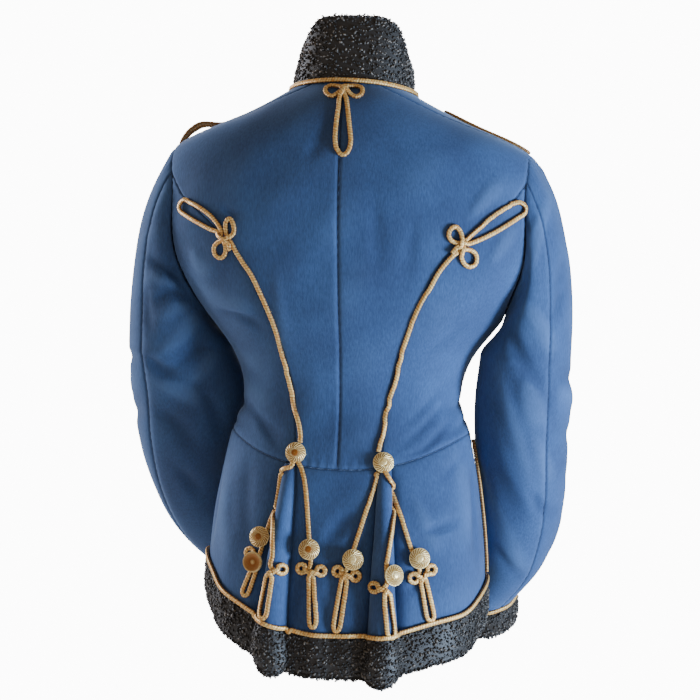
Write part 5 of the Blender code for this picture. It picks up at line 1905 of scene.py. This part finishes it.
    def neck(self) -> None:
        """Make the cord round the foot of the collar, and the trefoil that hangs from it."""
        angles = np.linspace(-176, 176, 90)
        seam = self.coat.points(angles, 0 * angles)
        level = seam * LEVEL_WAYS
        self.sew("neck", self.around(seam + unit(level) * 2.0, unit(level + np.array([0, 0, 12.0]))),
                 self.knotted(np.array(NECK_KNOT, float)))

    def skirt_edge(self, side: Side) -> None:
        """Make the cord down the front edge of a side of the skirt."""
        level = np.linspace(self.coat.waist + 0.04, self.coat.waist + 0.94, 40)
        angle = np.full_like(level, side.value * self.coat.side_seam)
        self.sew("side_" + side.word,
                 self.around(self.coat.points(angle, level), self.coat.outward(angle, level)))

    def wrist(self, side: Side, wrist: Grid) -> None:
        """Make the cord round a wrist, just above the cuff."""
        away = unit(wrist - wrist.mean(0))
        self.sew("cuff_" + side.word, self.around(wrist - down_arm(side) * 2.6, away, True))

    def front(self) -> None:
        """Make the doubled bars across the fronts."""
        half_length, half_width = 58, 6.5
        turn = 2 * np.pi * (np.arange(16) + 0.5) / 16
        for k, height in enumerate(FRONT_ROWS, 1):
            x = half_length * rounded(np.cos(turn), 0.6)
            z = height + half_width * rounded(np.sin(turn), 0.8)
            bar = leaned(np.stack([x, 0 * x, z], axis=1))
            self.sew("front_%d" % k, self.laid(bar[:, ::2], View.FRONT))

    def shoulder(self, side: Side) -> None:
        """Make the long loop on a shoulder; the left one arches a little above the cloth.

        Args:
            side: the shoulder's side.
        """
        middle, half_length, half_width = 154, 48, 7
        arch = 11.0 if side is Side.LEFT else 0.0
        turn = 2 * np.pi * np.arange(20) / 20
        x = middle + half_length * rounded(np.cos(turn), 0.75)
        y = half_width * np.sin(turn) - 8
        rise = arch * np.maximum(0, 1 - ((x - 178) / 26) ** 2)
        route = even_route(np.column_stack([side.value * x, y, rise]), 3.0, True)
        places, ways = [], []
        for across, fore, lift in route:
            start = Vector((across, fore, 300))
            place, way = self.cast(start, Vector((0, 0, -1)), Vector((1, 0, 0)))
            places.append(np.array(place) + np.array(way) * lift)
            ways.append(np.array(way))
        points, ways = self.settle(np.array(places), np.array(ways), route[:, 2], None)
        self.sew("shoulder_" + side.word, (points, ways, True))

    def hem(self) -> None:
        """Make the cord along the top of the fur, over every panel and pleat."""
        coat, end = self.coat, 178.5
        left, right = self.body.hem_edges()
        share = np.linspace(0.04, 0.96, 14)
        one, zero = np.ones(1), np.zeros(1)
        left_roll, right_roll = (self.body.pleat_points(pleat, one, zero, zero, share)[0]
                                 for pleat in PLEATS)
        right_side, back, left_side = (
            coat.points(angles, np.full_like(angles, coat.waist + 1.0)) for angles in
            (np.linspace(-end, -right[1], 120), np.linspace(-right[0], left[0], 30),
             np.linspace(left[1], end, 120)))
        points = np.concatenate([right_side, right_roll[::-1], back, left_roll, left_side])
        points = even_route(points + self.hem_way(points) + np.array([0, 0, 3.2]), 3.0)
        self.sew("hem", self.around(points, self.hem_way(points)))

    def hem_way(self, points: Grid) -> Grid:
        """Return the level direction away from the hem at points of it."""
        return unit(points / np.array([HEM_RING.half_width, HEM_RING.y_back, 1]) * LEVEL_WAYS)


@dataclass
class Buttons:
    """Domed buttons stamped with swirling ribs round a plain centre."""

    finish: GiltBrass
    radius: float = 11.6
    height: float = 7.6
    ribs: int = 20
    rib_height: float = 1.5
    swirl: float = 0.62        # how far a rib turns from the centre to the edge, in radians
    disc: float = 3.9          # the radius of the plain centre
    rib_end: float = 10.9
    centre_rings: tuple[float, ...] = (0.9, 1.9, 2.9, 3.5)
    rib_rings: tuple[float, float, int] = (4.0, 10.7, 11)
    rim_rings: tuple[float, ...] = (11.1, 11.5, 11.6)
    rim_lift: tuple[float, float] = (0.35, -0.1)  # of the rim's last two rings over the dome
    ditch: float = 0.55        # how deep the line round the plain centre is pressed
    back_rings: tuple[tuple[float, float], ...] = ((10.8, 0.0), (9.0, 0.6), (3.2, 2.8))
    back_dark: tuple[float, ...] = (0.25, 0.75, 1.0)
    back_hollow: float = 1.2
    disc_dark: float = 0.85
    around: int = 140

    def profile(self, r: Grid) -> Grid:
        """Return the dome's height at a distance from its middle."""
        return self.height * (1 - 0.62 * (r / self.radius) ** 2.2)

    def face(self) -> tuple[Grid, list, Grid]:
        """Work out a button that lies on its back.

        Returns:
            Its points, its faces, and how dark each point is: the rubbed centre, the back,
            and painted shade in the grooves between the ribs.
        """
        r = np.concatenate([self.centre_rings, np.linspace(*self.rib_rings), self.rim_rings])
        turn = 2 * np.pi * np.arange(self.around) / self.around
        ribbed = (r > self.disc) & (r < self.rib_end)
        share = np.clip((r - self.disc) / (self.rib_end - self.disc), 0, 1)
        wave = (1 + np.cos(self.ribs * (turn[None, :] + self.swirl * share[:, None]))) / 2
        strength = np.where(ribbed, np.sin(np.pi * np.clip(share, 0.04, 0.97)) ** 0.4, 0)
        z = self.profile(r)[:, None] + self.rib_height * (wave - 0.6) * strength[:, None]
        z = z - self.ditch * np.exp(-((r - self.disc) / 0.5) ** 2)[:, None]
        z[-2:] = (self.profile(r[-2:]) + np.array(self.rim_lift))[:, None]
        rings = [np.column_stack([q * np.cos(turn), q * np.sin(turn), h + 0 * turn])
                 for q, h in [*zip(r, z), *self.back_rings]]
        points = np.concatenate([*rings, [[0, 0, self.height]], [[0, 0, self.back_hollow]]])
        number = np.arange(len(rings) * self.around).reshape(len(rings), self.around)
        a, b = number[:-1], number[1:]
        faces = np.stack([a, b, np.roll(b, -1, 1), np.roll(a, -1, 1)], -1).reshape(-1, 4).tolist()
        top, bottom = len(points) - 2, len(points) - 1
        follow = np.roll(np.arange(self.around), -1)
        faces += [[top, int(k), int(j)] for k, j in zip(number[0], number[0][follow])]
        faces += [[bottom, int(j), int(k)] for k, j in zip(number[-1], number[-1][follow])]
        dark = np.where(r < self.disc, self.disc_dark, 0.0)[:, None] + 0 * wave
        # painted shade in the grooves between the ribs
        dark += np.where(ribbed, 1.0, 0)[:, None] * (1 - wave) ** 1.5
        dark = np.concatenate([dark.ravel(), np.repeat(self.back_dark, self.around), [0.75, 0.1]])
        return points, faces, dark

    def place(self, node: str) -> tuple[Grid, Grid]:
        """Read from a CAD button's solid how it sits.

        Args:
            node: the button's node.

        Returns:
            The middle of its foot, and the way that it faces.
        """
        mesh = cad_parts[node].data
        points = np.array([v.co for v in mesh.vertices]) / MM
        middle = points.mean(0)
        _, _, axes = np.linalg.svd(points - middle)
        way = axes[2]
        outward = middle * LEVEL_WAYS
        way = way if way @ outward > 0 else -way
        along = (points - middle) @ way
        wide = np.linalg.norm(points - middle - np.outer(along, way), axis=1)
        foot = along[wide > 0.9 * wide.max()].min()
        low = along.min() if foot - along.min() < 4 else foot
        return middle + way * low, way

    def build(self) -> None:
        """Make a button for every CAD button."""
        points, faces, dark = self.face()
        reverse = {"button_skirt_" + c.name for c in SKIRT_CORDS if c.facing is Facing.REVERSE}
        for k, node in enumerate(sorted(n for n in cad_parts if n.startswith("button_"))):
            foot, way = self.place(node)
            out = View.BACK.towards * (1 if foot[1] > 0 else -1)
            way = unit(way * (0.5 if node in reverse else 1.3) + out * 0.7)
            turn = Vector(way).to_track_quat("Z", "Y") @ Quaternion((0, 0, 1), 0.37 * k)
            local = points.copy()
            if node in reverse:
                local = local * np.array([1, -1, -1]) + np.array([0, 0, self.height + 0.5])
            turned = np.array([turn @ Vector(p) for p in local]) + foot
            # painted light: those on the right side get a lighter centre
            # painted shade by side: the buttons on the left side are darker all over;
            if foot[0] > 0:
                worn_and_shaded = np.minimum(dark + 0.16, 1)
            else:
                worn_and_shaded = dark * np.where(dark == self.disc_dark, 0.25, 1.0)
            make_piece("gilt_" + node, turned, faces, (node,), self.finish, {"disc": worn_and_shaded})


@dataclass
class Studio:
    """A pale floor, soft light, and a camera at the photograph's angle."""

    aim_across: float = -4.84
    aim_height: float = -303.0
    distance: float = 2310.0
    frame_width: float = 770.0
    frame_distance: float = 2200.0
    roll: float = 1.75
    floor_height: float = -1210.0
    floor_radius: float = 2300.0
    white: float = 12.0        # how bright the backdrop shows
    ambient: float = 0.4       # and how much light it throws on the garment

    def camera(self) -> None:
        """Make the camera."""
        data = bpy.data.cameras.new("camera")
        data.sensor_width = 36.0
        data.lens = data.sensor_width * self.frame_distance / self.frame_width
        camera = placed("camera", data)
        towards, across = View.BACK.towards, View.BACK.across
        camera.location = (across * self.aim_across + towards * self.distance) * MM
        camera.location.z = self.aim_height * MM
        look = Vector(towards).to_track_quat("Z", "Y")
        camera.rotation_mode = "QUATERNION"
        camera.rotation_quaternion = look @ Quaternion((0, 0, 1), math.radians(self.roll))
        bpy.context.scene.camera = camera

    def light(self, name: str, place: tuple[float, float, float], size: float, power: float,
              colour: str) -> None:
        """Make a soft lamp that faces the garment.

        Args:
            name: the lamp's name.
            place: where it hangs, in metres.
            size: its width in metres.
            power: its power in watts.
            colour: its sRGB hex value.
        """
        data = bpy.data.lights.new(name, "AREA")
        data.size = size
        data.energy = power
        data.color = srgb(colour)[:3]
        lamp = placed(name, data)
        lamp.location = place
        lamp.rotation_mode = "QUATERNION"
        lamp.rotation_quaternion = (Vector(place) - Vector((0, 0, -0.35))).to_track_quat("Z", "Y")

    def floor(self) -> None:
        """Make the plain pale floor."""
        turn = 2 * np.pi * np.arange(64) / 64
        x, y = self.floor_radius * np.cos(turn), self.floor_radius * np.sin(turn)
        points = np.column_stack([x, y, 0 * turn + self.floor_height])
        mesh = bpy.data.meshes.new("floor")
        mesh.from_pydata((points * MM).tolist(), [], [list(range(len(turn)))])
        mesh.materials.append(new_material("pale_floor", lambda tree: add_node(
            tree, "BsdfPrincipled", {"Base Color": srgb("#f4f3f1"), "Roughness": 0.9})))
        placed("floor", mesh)

    def build(self) -> None:
        """Make the whole studio."""
        self.camera()
        self.floor()
        self.backdrop()
        for lamp in LAMPS:
            self.light(*lamp)

    def backdrop(self) -> None:
        """Make the white backdrop, which shows brighter than it lights the garment."""
        world = bpy.data.worlds.new("studio")
        world.use_nodes = True
        tree = world.node_tree
        tree.nodes.clear()
        seen = add_node(tree, "Background", {"Color": srgb("#ffffff"), "Strength": self.white})
        lit = add_node(tree, "Background", {"Color": srgb("#ffedd9"), "Strength": self.ambient})
        camera_ray = add_node(tree, "LightPath").outputs["Is Camera Ray"]
        both = add_node(tree, "MixShader", links={0: camera_ray, 1: lit, 2: seen})
        add_node(tree, "OutputWorld", links={"Surface": both})
        bpy.context.scene.world = world


def cloth_tree(surfaces: list[tuple[Grid, Grid]]) -> BVHTree:
    """Return a search tree over the cloth and fur on which cords lie."""
    points, faces, base = [], [], 0
    for p, f in surfaces:
        points += p.tolist()
        faces += (f + base).tolist()
        base += len(p)
    return BVHTree.FromPolygons(points, faces)


def main() -> None:
    """Build the garment piece by piece around the frame."""
    logging.basicConfig(level=logging.INFO, format="%(name)s %(message)s")
    broadcloth = WoolBroadcloth("milled_wool_broadcloth", "blue_cloth")
    lambskin = Lambskin("curly_lambskin", "black_lambskin")
    gimp = GoldGimp("gold_gimp", "gold_cord")
    gilt = GiltBrass("gilt_brass", "gilt_metal")
    coat = Coat()
    tailor = Tailor(broadcloth)
    body = Body(coat, tailor)
    body.build()
    wrists = {side: Sleeve(side, coat, tailor).build() for side in Side}
    furrier = Furrier(lambskin)
    fur = Fur(coat, body, furrier)
    fur.collar()
    fur.hem()
    for side, seed in ((Side.LEFT, 17), (Side.RIGHT, 18)):
        fur.cuff(side, wrists[side], seed)
    log.info("locks of lambskin: %d", furrier.count)
    Trim(gimp, coat, body, cloth_tree(tailor.surfaces + fur.surfaces)).build(wrists)
    Buttons(gilt).build()
    Studio().build()


if __name__ == "__main__":
    main()
